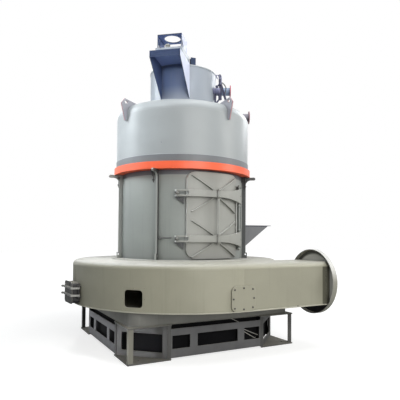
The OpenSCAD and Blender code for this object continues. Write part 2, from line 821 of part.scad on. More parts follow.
module hood_roof() color(hood_grey) rotate_extrude() {
    translate([hood_r - hood_round, hood_top - hood_round]) intersection() {
        difference() {
            circle(hood_round);
            circle(hood_round - hood_t);
        }
        square(hood_round);
    }
    translate([drum_r - 30, hood_top - hood_t]) square([hood_r - hood_round - drum_r + 30, hood_t]);
}

// lifting ear, drawn in its own plane: it follows the shoulder and rises above it
ear_t = 20;
ear_hole_r = 24;
ear_rise = 66;
ear_side = 45;
ear_reach = 104;
ear_root = 190;
ear_foot = 270;
module ear_outline() difference() {
    polygon([[hood_r - ear_root, hood_top], [hood_r - ear_root, hood_top + 0.6 * ear_t],
        [hood_r + ear_side, hood_top + ear_rise],
        [hood_r + ear_reach, hood_top - 0.6 * ear_t], [hood_r + 0.9 * ear_side, hood_top - ear_foot],
        [hood_r, hood_top - ear_foot],
        [hood_r - hood_round, hood_top - hood_round - 3 * ear_t]]);
    translate([hood_r - hood_round, hood_top - hood_round]) circle(hood_round + seat);
    translate([0, hood_top - 2 * hood_round]) square([hood_r + seat, hood_round]);
    translate([0, hood_top - 2 * hood_round]) square([hood_r - hood_round, 2 * hood_round]);
    translate([hood_r + ear_hole_r, hood_top + ear_hole_r / 2]) circle(ear_hole_r);
}
module lifting_ears() color(hood_grey) for (i = [0:3])
    rotate([0, 0, ear_az + 90 * i]) translate([ear_t / 2, 0, 0]) rotate([90, 0, -90])
        linear_extrude(ear_t) ear_outline();

// pipe stub with its flange on the shoulder
stub_az = 63;
stub_r = 63;
stub_out = 32;
stub_reach = hood_r + stub_out;
stub_len = 300;
stub_root = stub_reach - stub_len;
pipe_wall = 6;
flange_r = 105;
flange_t = 14;
flange_pcd = 170;
flange_hole_r = 8;
module flange_holes(reach) for (a = [22.5:45:337.5])
    towards_front(reach - flange_t - over, reach + over)
        rotate(a) translate([flange_pcd / 2, 0]) circle(flange_hole_r);
module hood_stub() color(ring_orange) difference() {
    rotate([0, 0, stub_az]) translate([0, 0, hood_top]) {
        towards_front(stub_root, stub_reach) circle(stub_r);
        towards_front(stub_reach - flange_t, stub_reach) circle(flange_r);
    }
    rotate([0, 0, stub_az]) translate([0, 0, hood_top]) {
        towards_front(stub_root + flange_r, stub_reach + over) circle(stub_r - pipe_wall);
        flange_holes(stub_reach);
    }
    hood_envelope();
}

// everything inside the hood's outer face, for cutting pieces that stand on it
module hood_envelope() rotate_extrude() {
    translate([0, band_z]) square([hood_r + seat, hood_h - hood_round]);
    translate([0, band_z]) square([hood_r - hood_round, hood_h + seat]);
    translate([hood_r - hood_round, hood_top - hood_round]) circle(hood_round + seat);
}

// ---------------------------------------------------------------- separator and drive

module separator_drum() color(hood_grey)
    ring(drum_r - hood_t, drum_r, hood_top, drum_top - hood_t);

drum_lip = 8;
module drum_roof() color(hood_grey) translate([0, 0, drum_top - hood_t])
    cylinder(r = drum_r + drum_lip, h = hood_t);

// open-mouthed outlet: roof, two cheeks and a short front lip
outlet_drop = 570;
outlet_reach = drum_r + outlet_out;
outlet_lip = 95;
outlet_t = 8;
outlet_top = drum_top + seat + outlet_t;
outlet_root = drum_r - 80;
module outlet_cheek() polygon([[outlet_root, outlet_top - outlet_t],
    [outlet_reach, outlet_top - outlet_t], [outlet_reach, outlet_top - outlet_lip],
    [outlet_root, outlet_top - outlet_drop]]);
module outlet_hood() color(dark_steel) rotate([0, 0, outlet_az]) difference() {
    union() {
        translate([-outlet_w / 2, -outlet_reach, outlet_top - outlet_t])
            cube([outlet_w, outlet_reach - outlet_root, outlet_t]);
        for (x = [-outlet_w / 2, outlet_w / 2 - outlet_t]) translate([x, 0, 0])
            rotate([90, 0, -90]) mirror([0, 0, 1]) linear_extrude(outlet_t) outlet_cheek();
        translate([-outlet_w / 2, -outlet_reach, outlet_top - outlet_lip])
            cube([outlet_w, outlet_t, outlet_lip]);
    }
    translate([0, 0, hood_top]) cylinder(r = drum_r + seat, h = drum_h);
    translate([0, 0, drum_top - hood_t - seat]) cylinder(r = drum_r + drum_lip + seat, h = hood_t + seat);
}

// closed box over the outlet that carries the motor stand
box_inset = 22;        // each side, from the outlet hood's edge
box_near = drum_r - 100;
box_far = outlet_reach - 210;
box_h = 126.4;
box_w = outlet_w - 2 * box_inset;
box_z0 = outlet_top + seat;
module bearing_box() color(hood_grey) rotate([0, 0, outlet_az])
    translate([-box_w / 2, -box_far, box_z0]) cube([box_w, box_far - box_near, box_h]);

box_top = box_z0 + box_h;
plate_near = box_near + 60;
plate_far = box_far - 30;
plate_t = 14;
plate_z0 = drum_top + stand_h - plate_t;
stand_pcd = 330;
stand_hole_r = 11;
cheek_t = 12;
stand_foot = 20;
stand_head = 65;
stand_window = 100;
// side of the stand, drawn by its distance from the axis and its height, with its window
module stand_cheek() difference() {
    translate([plate_near, box_top])
        square([plate_far - plate_near, plate_z0 - box_top + plate_t / 2]);
    polygon([[plate_far - stand_foot, box_top + stand_foot],
        [plate_far - stand_foot, plate_z0 - stand_head],
        [plate_far - stand_foot - stand_window, box_top + stand_foot]]);
}
module motor_stand() color(dark_steel) rotate([0, 0, outlet_az]) {
    translate([-stand_w / 2, -plate_far, plate_z0]) difference() {
        cube([stand_w, plate_far - plate_near, plate_t]);
        translate([stand_w / 2, (plate_far - plate_near) / 2, -over])
            cylinder(d = stand_bore, h = plate_t + 2 * over);
        for (a = [45:90:315]) translate([stand_w / 2, (plate_far - plate_near) / 2, -over])
            rotate([0, 0, a]) translate([stand_pcd / 2, 0, 0])
                cylinder(r = stand_hole_r, h = plate_t + 2 * over);
    }
    for (x = [-stand_w / 2, stand_w / 2 - cheek_t]) translate([x, 0, 0])
        rotate([90, 0, -90]) mirror([0, 0, 1]) linear_extrude(cheek_t) stand_cheek();
}

// small upright bracket on the drum's roof
bracket_az = -8;
bracket_w = 80;
bracket_h = 130;
bracket_d = 70;
bracket_t = 12;
bracket_in = 30;
module roof_bracket() color(dark_steel) rotate([0, 0, bracket_az])
    translate([0, -drum_r + bracket_in, drum_top + seat]) difference() {
        translate([-bracket_w / 2, 0, 0]) cube([bracket_w, bracket_d, bracket_h]);
        translate([-bracket_w, bracket_t, bracket_t])
            cube([2 * bracket_w, bracket_d - 2 * bracket_t, bracket_h]);
    }

pipe_az = 61;
pipe_up = 430;
pipe_z = hood_top + pipe_up;
pipe_r = 65;
pipe_out = 250;
pipe_reach = drum_r + pipe_out;
module side_pipe() color(ring_orange) rotate([0, 0, pipe_az]) translate([0, 0, pipe_z]) difference() {
    union() {
        towards_front(drum_r - pipe_r, pipe_reach) circle(pipe_r);
        towards_front(pipe_reach - flange_t, pipe_reach) circle(flange_r);
    }
    towards_front(drum_r - 2 * pipe_r, pipe_reach + over) circle(pipe_r - pipe_wall);
    flange_holes(pipe_reach);
    translate([0, 0, -drum_h]) cylinder(r = drum_r + seat, h = 2 * drum_h);
}

// small motor beside the drum on its bracket, with an upright post above it
actuator_az = 44;
actuator_z = pipe_z - 8;
actuator_r = 72;
actuator_near = drum_r + 22;
actuator_far = drum_r + 210;
saddle_w = 90;
saddle_h = 180;
saddle_out = 40;
mast_r = 17;
mast_h = 250;
module side_actuator() color(dark_steel) rotate([0, 0, actuator_az]) difference() {
    union() {
        translate([0, 0, actuator_z]) towards_front(actuator_near, actuator_far) circle(actuator_r);
        translate([-saddle_w / 2, -drum_r - saddle_out, actuator_z - saddle_h / 2])
            cube([saddle_w, 3 * saddle_out, saddle_h]);
        translate([0, -(actuator_near + actuator_far) / 2, actuator_z])
            cylinder(r = mast_r, h = mast_h);
    }
    translate([0, 0, hood_top]) cylinder(r = drum_r + seat, h = drum_h);
}

foot_plates();
stand_posts();
corner_panels();
side_panel_front();
side_panel_back();
side_panel_left();
side_panel_right();
base_plate();
pit_screen();
skirt();
volute_floor();
volute_wall_front_left();
volute_wall_back_left();
volute_wall_back_right();
volute_wall_front_right();
volute_roof();
inlet_duct_walls();
inlet_flange();
inspection_cover();
hatch_frame();
hatch_door();
hatch_hinge();
casing_foot_ring();
casing_below_door();
casing_above_door();
casing_left();
casing_back();
casing_right();
casing_ribs();
door_frame();
door_panel();
door_arms();
door_hinge();
door_latches();
feed_hopper();
clamp_ring();
hood_band();
hood_shell();
hood_roof();
lifting_ears();
hood_stub();
separator_drum();
drum_roof();
outlet_hood();
bearing_box();
motor_stand();
roof_bracket();
side_pipe();
side_actuator();
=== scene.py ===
import json
import math

import bmesh
import bpy
from mathutils import Matrix, Vector, noise


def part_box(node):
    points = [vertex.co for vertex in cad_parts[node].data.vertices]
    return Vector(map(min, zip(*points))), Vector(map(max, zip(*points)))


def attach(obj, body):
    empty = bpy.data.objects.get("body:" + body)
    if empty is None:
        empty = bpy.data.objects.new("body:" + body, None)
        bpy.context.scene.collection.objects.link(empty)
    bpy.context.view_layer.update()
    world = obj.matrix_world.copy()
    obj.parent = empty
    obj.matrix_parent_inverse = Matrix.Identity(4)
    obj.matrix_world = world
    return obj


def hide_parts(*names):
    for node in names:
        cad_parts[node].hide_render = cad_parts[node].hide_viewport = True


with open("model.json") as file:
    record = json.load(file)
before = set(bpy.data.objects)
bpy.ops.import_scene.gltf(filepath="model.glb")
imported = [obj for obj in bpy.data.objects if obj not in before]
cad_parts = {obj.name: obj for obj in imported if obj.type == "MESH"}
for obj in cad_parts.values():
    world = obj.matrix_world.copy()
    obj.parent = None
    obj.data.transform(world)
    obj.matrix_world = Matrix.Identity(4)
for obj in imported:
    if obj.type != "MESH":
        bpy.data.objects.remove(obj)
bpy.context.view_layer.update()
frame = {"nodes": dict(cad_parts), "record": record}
nodes = frame["nodes"]
scene = bpy.context.scene

# ---------------- where the mill is seen from
# A person with a camera stands on the workshop floor, off the front left corner, with the
# lens at eye height; the shift keeps the uprights upright while the tall mill fills the view.
camera_place = Vector((-3.1186, -6.6320, 1.6165))
camera_yaw = math.radians(28.902)
camera_pitch = math.radians(1.6115)
camera_roll = math.radians(0.356)
sight = Vector((math.sin(camera_yaw) * math.cos(camera_pitch),
                math.cos(camera_yaw) * math.cos(camera_pitch), math.sin(camera_pitch)))
level = Vector((math.cos(camera_yaw), -math.sin(camera_yaw), 0))
upward = level.cross(sight)
camera_right = level * math.cos(camera_roll) + upward * math.sin(camera_roll)
camera_up = upward * math.cos(camera_roll) - level * math.sin(camera_roll)
camera_data = bpy.data.cameras.new("standing_view")
camera_data.sensor_width = 36
camera_data.lens = 39.189
camera_data.shift_x = -0.0265
camera_data.shift_y = 0.0654
camera_data.clip_start = 0.1
camera_data.clip_end = 200
camera = bpy.data.objects.new("standing_view", camera_data)
camera.matrix_world = Matrix.Translation(camera_place) @ Matrix(
    (camera_right, camera_up, -sight)).transposed().to_4x4()
scene.collection.objects.link(camera)
scene.camera = camera

# ---------------- light, backdrop and floor
# Soft studio light: wide lamps overhead, in front and at the right, under a pale sky. Six
# weak lamps with narrow grids lift the left, rear, roof, rim, base and outlet. Backdrop
# and floor are white paper; the floor keeps the shadow.
scene.view_settings.view_transform = "Standard"


def feed(t, node, feeds):
    """Feeds a node's inputs, by name or number, with plain values or other nodes' outputs."""
    for key, value in feeds.items():
        socket = node.inputs[key]
        if isinstance(value, bpy.types.NodeSocket):
            t.links.new(value, socket)
        elif socket.type == "RGBA":
            socket.default_value = (*value, 1)
        else:
            socket.default_value = value


def add_node(t, kind, feeds, **settings):
    """Adds a shader node with its settings and feeds it; returns its outputs."""
    node = t.nodes.new("ShaderNode" + kind)
    for setting, value in settings.items():
        setattr(node, setting, value)
    feed(t, node, feeds)
    return node.outputs


def span(t, value, low, high, out_low=0.0, out_high=1.0):
    """Takes value from low..high to out_low..out_high and stops at both ends."""
    return add_node(t, "MapRange", {"Value": value, "From Min": low, "From Max": high,
                                    "To Min": out_low, "To Max": out_high})[0]


def sum_up(t, operation, first, second):
    """One arithmetic step; either side may be a plain number."""
    return add_node(t, "Math", {0: first, 1: second}, operation=operation)[0]


def lean(t, first, second):
    """How far two directions agree, or how far a point lies along a direction."""
    return add_node(t, "VectorMath", {0: first, 1: second}, operation="DOT_PRODUCT")["Value"]


world = bpy.data.worlds.new("studio")
world.use_nodes = True
scene.world = world
wt = world.node_tree
wt.nodes.clear()
sky_side = (0.30, 0.80, 0.52)
sky_bright = 0.42
sky_place = add_node(wt, "TexCoord", {})["Generated"]
sky_level = span(wt, lean(wt, sky_place, sky_side), -0.9, 0.9, 0, sky_bright)
sky = add_node(wt, "Background", {"Color": (0.88, 0.94, 1.0), "Strength": sky_level})[0]
paper = add_node(wt, "Background", {"Color": (1, 1, 1), "Strength": 1})[0]
ray = add_node(wt, "LightPath", {})
seen = sum_up(wt, "MAXIMUM", ray["Is Camera Ray"], ray["Is Transmission Ray"])
seen = sum_up(wt, "MAXIMUM", seen, ray["Is Glossy Ray"])
add_node(wt, "OutputWorld",
         {"Surface": add_node(wt, "MixShader", {0: seen, 1: sky, 2: paper})[0]})


def soft_lamp(name, place, target, side, watts, tint, spread=180, height=None):
    """A soft box at place that looks at target, square unless it has a height of its own; a
    grid on it narrows the spread."""
    data = bpy.data.lights.new(name, "AREA")
    data.shape = "RECTANGLE"
    data.size = side
    data.size_y = height or side
    data.energy = watts
    data.color = tint
    data.spread = math.radians(spread)
    lamp = bpy.data.objects.new(name, data)
    lamp.location = place
    lamp.rotation_mode = "QUATERNION"
    lamp.rotation_quaternion = (Vector(target) - Vector(place)).to_track_quat("-Z", "Y")
    lamp.visible_camera = False
    scene.collection.objects.link(lamp)


warm, cool = (1.0, 0.98, 0.94), (0.94, 0.97, 1.0)
soft_lamp("overhead_light", (0.3, -2.2, 8.5), (0, 0, 3.0), 5.0, 283, (0.96, 0.98, 1.0))
soft_lamp("front_light", (-0.8, -10.9, 4.5), (0, 0, 1.6), 7.0, 600, warm)
soft_lamp("right_light", (9.0, -6.8, 5.8), (0, 0, 1.8), 5.0, 370, warm)
soft_lamp("left_light", (-3.6, -1.6, 5.6), (-0.5, -0.2, 2.9), 2.0, 6.5, cool, 40)
soft_lamp("rear_light", (-4.0, 2.2, 5.2), (-0.7, 0.2, 3.1), 2.5, 27, (0.90, 0.96, 1.0), 40)
soft_lamp("roof_light", (-1.9, 1.0, 7.5), (-1.35, -0.2, 1.2), 1.2, 4, (1.0, 1.0, 1.0), 22)
soft_lamp("rim_light", (4.6, 1.4, 5.6), (0.6, 0.0, 3.7), 2.5, 9, cool, 36)
soft_lamp("base_light", (-5.0, -0.6, 0.27), (-1.3, 0.0, 0.22), 2.6, 3, (0.96, 0.96, 1.0), 8, 0.36)
soft_lamp("outlet_light", (-3.0, -3.6, 4.1), (-0.5, -0.59, 4.2), 0.5, 1.1, cool, 18)

floor_half = 40
square_signs = ((-1, -1), (1, -1), (1, 1), (-1, 1))
floor_mesh = bpy.data.meshes.new("floor")
floor_mesh.from_pydata([(sx * floor_half, sy * floor_half, 0) for sx, sy in square_signs],
                       [], [(0, 1, 2, 3)])
floor = bpy.data.objects.new("floor", floor_mesh)
scene.collection.objects.link(floor)
floor_paper = bpy.data.materials.new("white_floor_paper")
floor_paper.use_nodes = True
ft = floor_paper.node_tree
ft.nodes.clear()
shadow_reach, white_reach = 2.6, 7.0
floor_far = add_node(ft, "VectorMath", {0: add_node(ft, "TexCoord", {})["Object"]},
                     operation="LENGTH")["Value"]
floor_level = span(ft, floor_far, shadow_reach, white_reach, 0.74, 1.0)
floor_glow = add_node(ft, "Emission", {"Color": (1, 1, 1), "Strength": floor_level})[0]
floor_body = add_node(ft, "BsdfDiffuse", {"Color": (0.42, 0.42, 0.41)})[0]
floor_seen = add_node(ft, "AddShader", {0: floor_body, 1: floor_glow})[0]
floor_ray = add_node(ft, "LightPath", {})["Is Camera Ray"]
floor_mix = add_node(ft, "MixShader", {0: floor_ray, 1: floor_body, 2: floor_seen})[0]
add_node(ft, "OutputMaterial", {"Surface": floor_mix})
floor_mesh.materials.append(floor_paper)

# ---------------- base frame and corner feet
# Four corner feet of plate and angle carry the mill: sole plates on the floor, upright
# angles, and slanted corner plates with windows. Welded, brushed dark grey, now dusty.


def grain(t, place, scale, detail, stretch=None):
    """Noise from 0 to 1 over the part, stretched where the finish runs one way."""
    if stretch:
        place = add_node(t, "Mapping", {"Vector": place, "Scale": stretch})[0]
    return add_node(t, "TexNoise", {"Vector": place, "Scale": scale, "Detail": detail,
                                    "Roughness": 0.6})["Fac"]


def lay_over(t, share, under, colour):
    """Lays a colour over what is under it, where share says so."""
    return add_node(t, "Mix", {"Factor": share, "A": under, "B": colour},
                    data_type="RGBA")["Result"]


def times(colour, factor):
    """The same colour, lighter or darker."""
    return tuple(c * factor for c in colour)


settled_dust = (0.36, 0.34, 0.28)
# Tone of the grime and painted shade laid into corners and creases.
corner_dirt_and_shade = (0.030, 0.028, 0.024)
rightward, skyward = (1.0, 0.0, 0.0), (0.0, 0.0, 1.0)


def enamel(name, colour, worn, rough=0.42, rub=0.5, dust=0.25, grime_and_shade=0.45, cloud=1.3, shift=0.08,
           runs=0.10, wave=0.30, coat=0.0, shine=0.5, others=()):
    """Sprayed machine enamel on plate: clouded tone, runs, orange peel and plate waviness,
    paint rubbed thin along the edges, grime with painted shade in the corners and dust where
    it can lie. others holds further paints, and painted light and shade, on the same part,
    each with what gives the share it covers."""
    mat = bpy.data.materials.new(name)
    mat.use_nodes = True
    t = mat.node_tree
    place = add_node(t, "TexCoord", {})["Object"]
    normal = add_node(t, "NewGeometry", {})["Normal"]
    clouds = grain(t, place, cloud, 6)
    specks = grain(t, place, 42, 4)
    blots = grain(t, place, 7, 5)
    streaks = grain(t, place, 1, 4, (11, 11, 0.7))
    swell = grain(t, place, 2.4, 1)
    tone = lay_over(t, span(t, clouds, 0.3, 0.7), times(colour, 1 - shift),
                    times(colour, 1 + shift))
    for paint_there, cover in others:
        tone = lay_over(t, cover(t, place, normal), tone, paint_there)
    tone = lay_over(t, span(t, streaks, 0.55, 0.75, 0, runs), tone, times(colour, 0.62))
    # Corners and creases are darkened here: partly grime, partly painted shade.
    shade = add_node(t, "AmbientOcclusion", {"Distance": 0.10}, samples=6)["AO"]
    corner = sum_up(t, "MULTIPLY", span(t, shade, 0.75, 0.2, 0, grime_and_shade),
                    span(t, blots, 0.2, 0.6, 0.5, 1))
    tone = lay_over(t, corner, tone, corner_dirt_and_shade)
    round_edge = add_node(t, "Bevel", {"Radius": 0.006}, samples=4)[0]
    edge = sum_up(t, "MULTIPLY", span(t, lean(t, round_edge, normal), 0.985, 0.86, 0, rub),
                  span(t, blots, 0.35, 0.6, 0.25, 1))
    tone = lay_over(t, edge, tone, worn)
    lying = sum_up(t, "MULTIPLY", span(t, lean(t, normal, skyward), 0.55, 0.98, 0, dust),
                   span(t, blots, 0.25, 0.7, 0.55, 1))
    tone = lay_over(t, lying, tone, settled_dust)
    gloss = span(t, sum_up(t, "ADD", specks, blots), 0.7, 1.3, rough - 0.06, rough + 0.08)
    gloss = sum_up(t, "ADD", gloss, sum_up(t, "MULTIPLY", lying, 0.35))
    dents = add_node(t, "Bump", {"Strength": wave, "Distance": 0.03, "Height": swell,
                                 "Normal": round_edge})[0]
    peel = add_node(t, "Bump", {"Strength": 0.10, "Distance": 0.002, "Height": specks,
                                "Normal": dents})[0]
    feed(t, t.nodes["Principled BSDF"],
         {"Base Color": tone, "Roughness": gloss, "Specular IOR Level": shine,
          "Coat Weight": coat, "Coat Roughness": 0.22, "Normal": peel})
    return mat


def facing(direction, low, high, share=1.0):
    """A cover that rises to share on faces that look in a direction."""
    return lambda t, place, normal: span(t, lean(t, normal, direction), low, high, 0, share)


def beyond(direction, low, high, share=1.0):
    """A cover that rises to share where the part lies that far along a direction."""
    return lambda t, place, normal: span(t, lean(t, place, direction), low, high, 0, share)


def dress(material, *names):
    """Puts a finish on the named solids of the frame."""
    for name in names:
        slots = nodes[name].data.materials
        if len(slots):
            slots[0] = material
        else:
            slots.append(material)


base_low, base_high = map(Vector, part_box("base_plate"))
base_middle = (base_low + base_high) / 2
base_half = (base_high.x - base_low.x) / 2
foot_paint = (0.085, 0.085, 0.083)
foot_dust = (0.22, 0.215, 0.20)
# The outermost angle of the front left foot is drawn lighter, as it stands in the light.
tip_paint = (0.215, 0.21, 0.175)
tip_reach = 1.86 * base_half - base_middle.x - base_middle.y
outer_tip = beyond((-1.0, -1.0, 0.0), tip_reach - 0.004, tip_reach + 0.004)
foot_enamel = enamel("foot_enamel", foot_paint, foot_dust, rough=0.55, rub=0.75, dust=0.55,
                     cloud=2.6, shift=0.2, wave=0.2)
post_enamel = enamel("post_enamel", foot_paint, foot_dust, rough=0.55, rub=0.75, dust=0.55,
                     cloud=2.6, shift=0.2, wave=0.1,
                     others=((tip_paint, outer_tip),))
dress(foot_enamel, "foot_plates", "corner_panels")
dress(post_enamel, "stand_posts")


def ring(bm, middle, turn, radius, sides, height=0.0):
    """The corners of one ring round a point, turned to the ring's axis."""
    angles = [2 * math.pi * i / sides for i in range(sides)]
    return [bm.verts.new(middle + turn @ Vector(
        (radius * math.cos(angle), radius * math.sin(angle), height))) for angle in angles]


def loft(bm, rings, closed=False):
    """Skins a row of rings, and caps its ends unless the row closes on itself."""
    if not closed:
        bm.faces.new(list(reversed(rings[0])))
        bm.faces.new(rings[-1])
    for low, high in zip(rings, rings[1:] + (rings[:1] if closed else [])):
        for i in range(len(low)):
            j = (i + 1) % len(low)
            bm.faces.new((low[i], low[j], high[j], high[i]))


def turned(bm, foot, axis, outline, sides=20):
    """A solid turned about an axis; outline is (radius, height) pairs from the foot up."""
    turn = Vector(axis).to_track_quat("Z", "Y").to_matrix()
    loft(bm, [ring(bm, Vector(foot), turn, radius, sides, height)
              for radius, height in outline])


def bead(bm, path, size, closed=False):
    """A hand-laid weld along a path: a ridge of overlapping ripples."""
    pitch = 0.012
    lengths = [0.0]
    for a, b in zip(path, path[1:]):
        lengths.append(lengths[-1] + (b - a).length)
    steps = max(int(lengths[-1] / (pitch / 2)), 4)
    points = []
    k = 0
    for i in range(steps + (0 if closed else 1)):
        s = lengths[-1] * i / steps
        while k < len(path) - 2 and lengths[k + 1] < s:
            k += 1
        part = (s - lengths[k]) / max(lengths[k + 1] - lengths[k], 1e-9)
        points.append(path[k].lerp(path[k + 1], part))
    rings = []
    last = len(points) - 1
    for i, point in enumerate(points):
        before = points[i - 1] if i or closed else point
        after = points[(i + 1) % (last + 1)] if i < last or closed else point
        turn = (after - before).normalized().to_track_quat("Z", "Y").to_matrix()
        radius = size * ((1.0 if i % 2 else 0.84) + 0.12 * noise.noise(point * 30))
        if not closed and i in (0, last):
            radius *= 0.4
        rings.append(ring(bm, point, turn, radius, 6))
    loft(bm, rings, closed)


def to_piece(name, bm, material, body="frame", sharp=35):
    """Turns the mesh into a piece of the mill that moves with its body."""
    bmesh.ops.recalc_face_normals(bm, faces=bm.faces[:])
    mesh = bpy.data.meshes.new(name)
    bm.to_mesh(mesh)
    bm.free()
    mesh.shade_smooth()
    mesh.set_sharp_from_angle(angle=math.radians(sharp))
    mesh.materials.append(material)
    piece = bpy.data.objects.new(name, mesh)
    scene.collection.objects.link(piece)
    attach(piece, body)
    return piece


sole_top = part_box("foot_plates")[1][2]
post_out = (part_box("stand_posts")[1][0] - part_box("stand_posts")[0][0]) / 2
foot_weld = bmesh.new()
weld_size = 0.006
weld_arm = 0.065
for sx, sy in square_signs:
    x, y = base_middle.x + sx * post_out, base_middle.y + sy * post_out
    for z in (sole_top, base_low.z):
        bead(foot_weld, [Vector((x - sx * weld_arm, y, z)), Vector((x, y, z)),
                         Vector((x, y - sy * weld_arm, z))], weld_size)
to_piece("foot_welds", foot_weld, foot_enamel)

# ---------------- side panels and what is behind
# Sheet panels with windows close the base between its feet. A near-black screen plate round
# the gear unit's pit behind them is painted shade, standing in for the dark inside of the
# base, and two oil pipes pass behind the front panel.
panel_enamel = enamel("panel_enamel", (0.126, 0.127, 0.132), (0.26, 0.25, 0.21), rough=0.5,
                      rub=0.6, dust=0.45, cloud=2.2, shift=0.16, runs=0.3, wave=0.35)
dress(panel_enamel, "side_panel_front", "side_panel_back", "side_panel_left",
      "side_panel_right")
painted_shade_black = enamel("painted_shade_black", (0.004, 0.004, 0.005), (0.006, 0.006, 0.006), rough=0.9, dust=0.0,
                   grime_and_shade=0.1, runs=0.0, wave=0.1, shine=0.15)
dress(painted_shade_black, "pit_screen")
panel_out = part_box("side_panel_right")[0][0] - base_middle.x
screen_low, screen_high = map(Vector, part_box("pit_screen"))
screen_half = (screen_high.x - screen_low.x) / 2
screen_turn = 0.704
closer_near, closer_far = screen_half - 0.001, panel_out - 0.0005
closer_inner, closer_outer = screen_turn - 0.004, screen_turn - 0.001
# Near-black closers shut the gaps between the screen and the panels: more painted shade.
closers = bmesh.new()
for side_way, end_way in ((1, 1), (1, -1), (-1, 1), (-1, -1)):
    for turned_by in (0, 90):
        turn = Matrix.Rotation(math.radians(turned_by), 4, "Z")
        corners = [base_middle + turn @ Vector((side_way * x, end_way * y, 0)) for x, y in (
            (closer_near, closer_inner), (closer_far, closer_inner),
            (closer_far, closer_outer), (closer_near, closer_outer))]
        loft(closers, [[closers.verts.new((corner.x, corner.y, z)) for corner in corners]
                       for z in (screen_low.z, screen_high.z)])
to_piece("screen_closers", closers, painted_shade_black)

pipe_steel = enamel("pipe_steel", (0.48, 0.47, 0.44), (0.45, 0.44, 0.40), rough=0.4, rub=0.4,
                    dust=0.3, cloud=8, shift=0.2, wave=0.0)


def pipe(bm, points, radius, sides=12):
    """A pipe bent smoothly through its points, with plain closed ends."""
    smooth = []
    for i in range(len(points) - 1):
        a, b = points[i], points[i + 1]
        before = points[i - 1] if i else a + (a - b)
        after = points[i + 2] if i + 2 < len(points) else b + (b - a)
        for k in range(8):
            s = k / 8
            smooth.append(0.5 * (2 * a + (b - before) * s + (2 * before - 5 * a + 4 * b - after)
                                 * s * s + (3 * a - before - 3 * b + after) * s ** 3))
    smooth.append(points[-1])
    rings = []
    side = None
    for i, point in enumerate(smooth):
        run = (smooth[min(i + 1, len(smooth) - 1)] - smooth[max(i - 1, 0)]).normalized()
        side = run.orthogonal() if side is None else side
        side = (side - run * side.dot(run)).normalized()
        other = run.cross(side)
        rings.append([bm.verts.new(point + radius * (
            side * math.cos(2 * math.pi * j / sides) + other * math.sin(2 * math.pi * j / sides)))
            for j in range(sides)])
    loft(bm, rings)


pipe_rise, pipe_end_run = 0.005, 0.05
screen_front = screen_low.y
pipe_out = screen_front - 0.031
oil_pipes = bmesh.new()
for x0, z0, x1, z1 in ((0.300, 0.337, 0.760, 0.146), (0.300, 0.324, 0.600, 0.153),
                       (0.200, 0.463, 0.360, 0.388)):
    pipe(oil_pipes, [Vector((x0 - pipe_end_run, screen_front, z0 + pipe_rise)),
                     Vector((x0, pipe_out, z0)),
                     Vector(((x0 + x1) / 2, pipe_out, (z0 + z1) / 2)),
                     Vector((x1, pipe_out, z1)),
                     Vector((x1 + pipe_end_run, screen_front, z1 - pipe_rise))], 0.005)
to_piece("oil_pipes", oil_pipes, pipe_steel)

# ---------------- base plate
# Thick square top plate of the base, flame cut and welded to the feet. Dust and powder
# have settled on it, and its edge is rubbed where loads were set down.
plate_enamel = enamel("plate_enamel", (0.13, 0.13, 0.12), (0.33, 0.315, 0.27), rough=0.55, rub=0.8,
                      dust=0.75, cloud=2.0, shift=0.18, wave=0.15)
dress(plate_enamel, "base_plate")

# ---------------- skirt
# Low box of bent plate with rounded corners between the base plate and the air box,
# painted like the base but a little lighter and welded down all round.
skirt_low, skirt_high = map(Vector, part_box("skirt"))
skirt_middle = (skirt_low + skirt_high) / 2
skirt_half = (skirt_high.x - skirt_low.x) / 2
skirt_corner = 0.150
skirt_enamel = enamel("skirt_enamel", (0.203, 0.203, 0.187), (0.30, 0.29, 0.25), rough=0.5,
                      dust=0.4, grime_and_shade=0.7, cloud=1.8, shift=0.14, runs=0.35, wave=0.4)
dress(skirt_enamel, "skirt")


def rounded_square(middle, half, corner, z, per_corner=10):
    """Points round a square with rounded corners, back to the first one."""
    path = []
    for k, (sx, sy) in enumerate(((1, -1), (1, 1), (-1, 1), (-1, -1))):
        for i in range(per_corner + 1):
            angle = math.radians(-90 + 90 * k + 90 * i / per_corner)
            path.append(Vector((middle.x + sx * (half - corner) + corner * math.cos(angle),
                                middle.y + sy * (half - corner) + corner * math.sin(angle), z)))
    return path + path[:1]


skirt_weld = bmesh.new()
bead(skirt_weld, rounded_square(skirt_middle, skirt_half + 0.001, skirt_corner,
                                skirt_low.z + 0.001), 0.006, closed=True)
to_piece("skirt_weld", skirt_weld, skirt_enamel)

# ---------------- spiral air box
# The air box winds round the mill in four quarter turns of rolled plate on a floor plate,
# with rounded top edges. Sprayed semi-gloss warm grey; the floor plate's rim is paler.
box_paint = (0.383, 0.373, 0.289)
box_worn = (0.52, 0.51, 0.43)


def both(first, second):
    """A cover where two covers overlap."""
    return lambda t, place, normal: sum_up(t, "MULTIPLY", first(t, place, normal),
                                           second(t, place, normal))


# Faces that look up are painted paler: a painted highlight with a little real dust. The
# roof's rounded left shoulder is painted palest of all: a painted highlight.
lit_dusty_top = facing(skyward, 0.30, 0.92, 0.40)
left_shoulder = both(beyond((-1.0, 0.0, 0.0), 0.55, 1.15),
                     facing((-0.2, -0.2, 0.96), 0.70, 0.93, 0.6))
box_enamel = enamel("box_enamel", box_paint, box_worn, rub=0.45, shift=0.06, runs=0.25, wave=0.55,
                    coat=0.1,
                    others=(((0.60, 0.60, 0.56), lit_dusty_top),
                            ((0.74, 0.74, 0.71), left_shoulder)))
dress(box_enamel, "volute_wall_front_left", "volute_wall_back_left",
      "volute_wall_back_right", "volute_wall_front_right", "volute_roof")
rim_enamel = enamel("rim_enamel", (0.50, 0.49, 0.40), (0.60, 0.59, 0.52), rough=0.45, rub=0.6,
                    dust=0.4, wave=0.2)
dress(rim_enamel, "volute_floor")

floor_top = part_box("volute_floor")[1][2]
box_shift = 0.04
wall_first = -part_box("volute_wall_front_left")[0][1] - box_shift
wall_step = 0.08


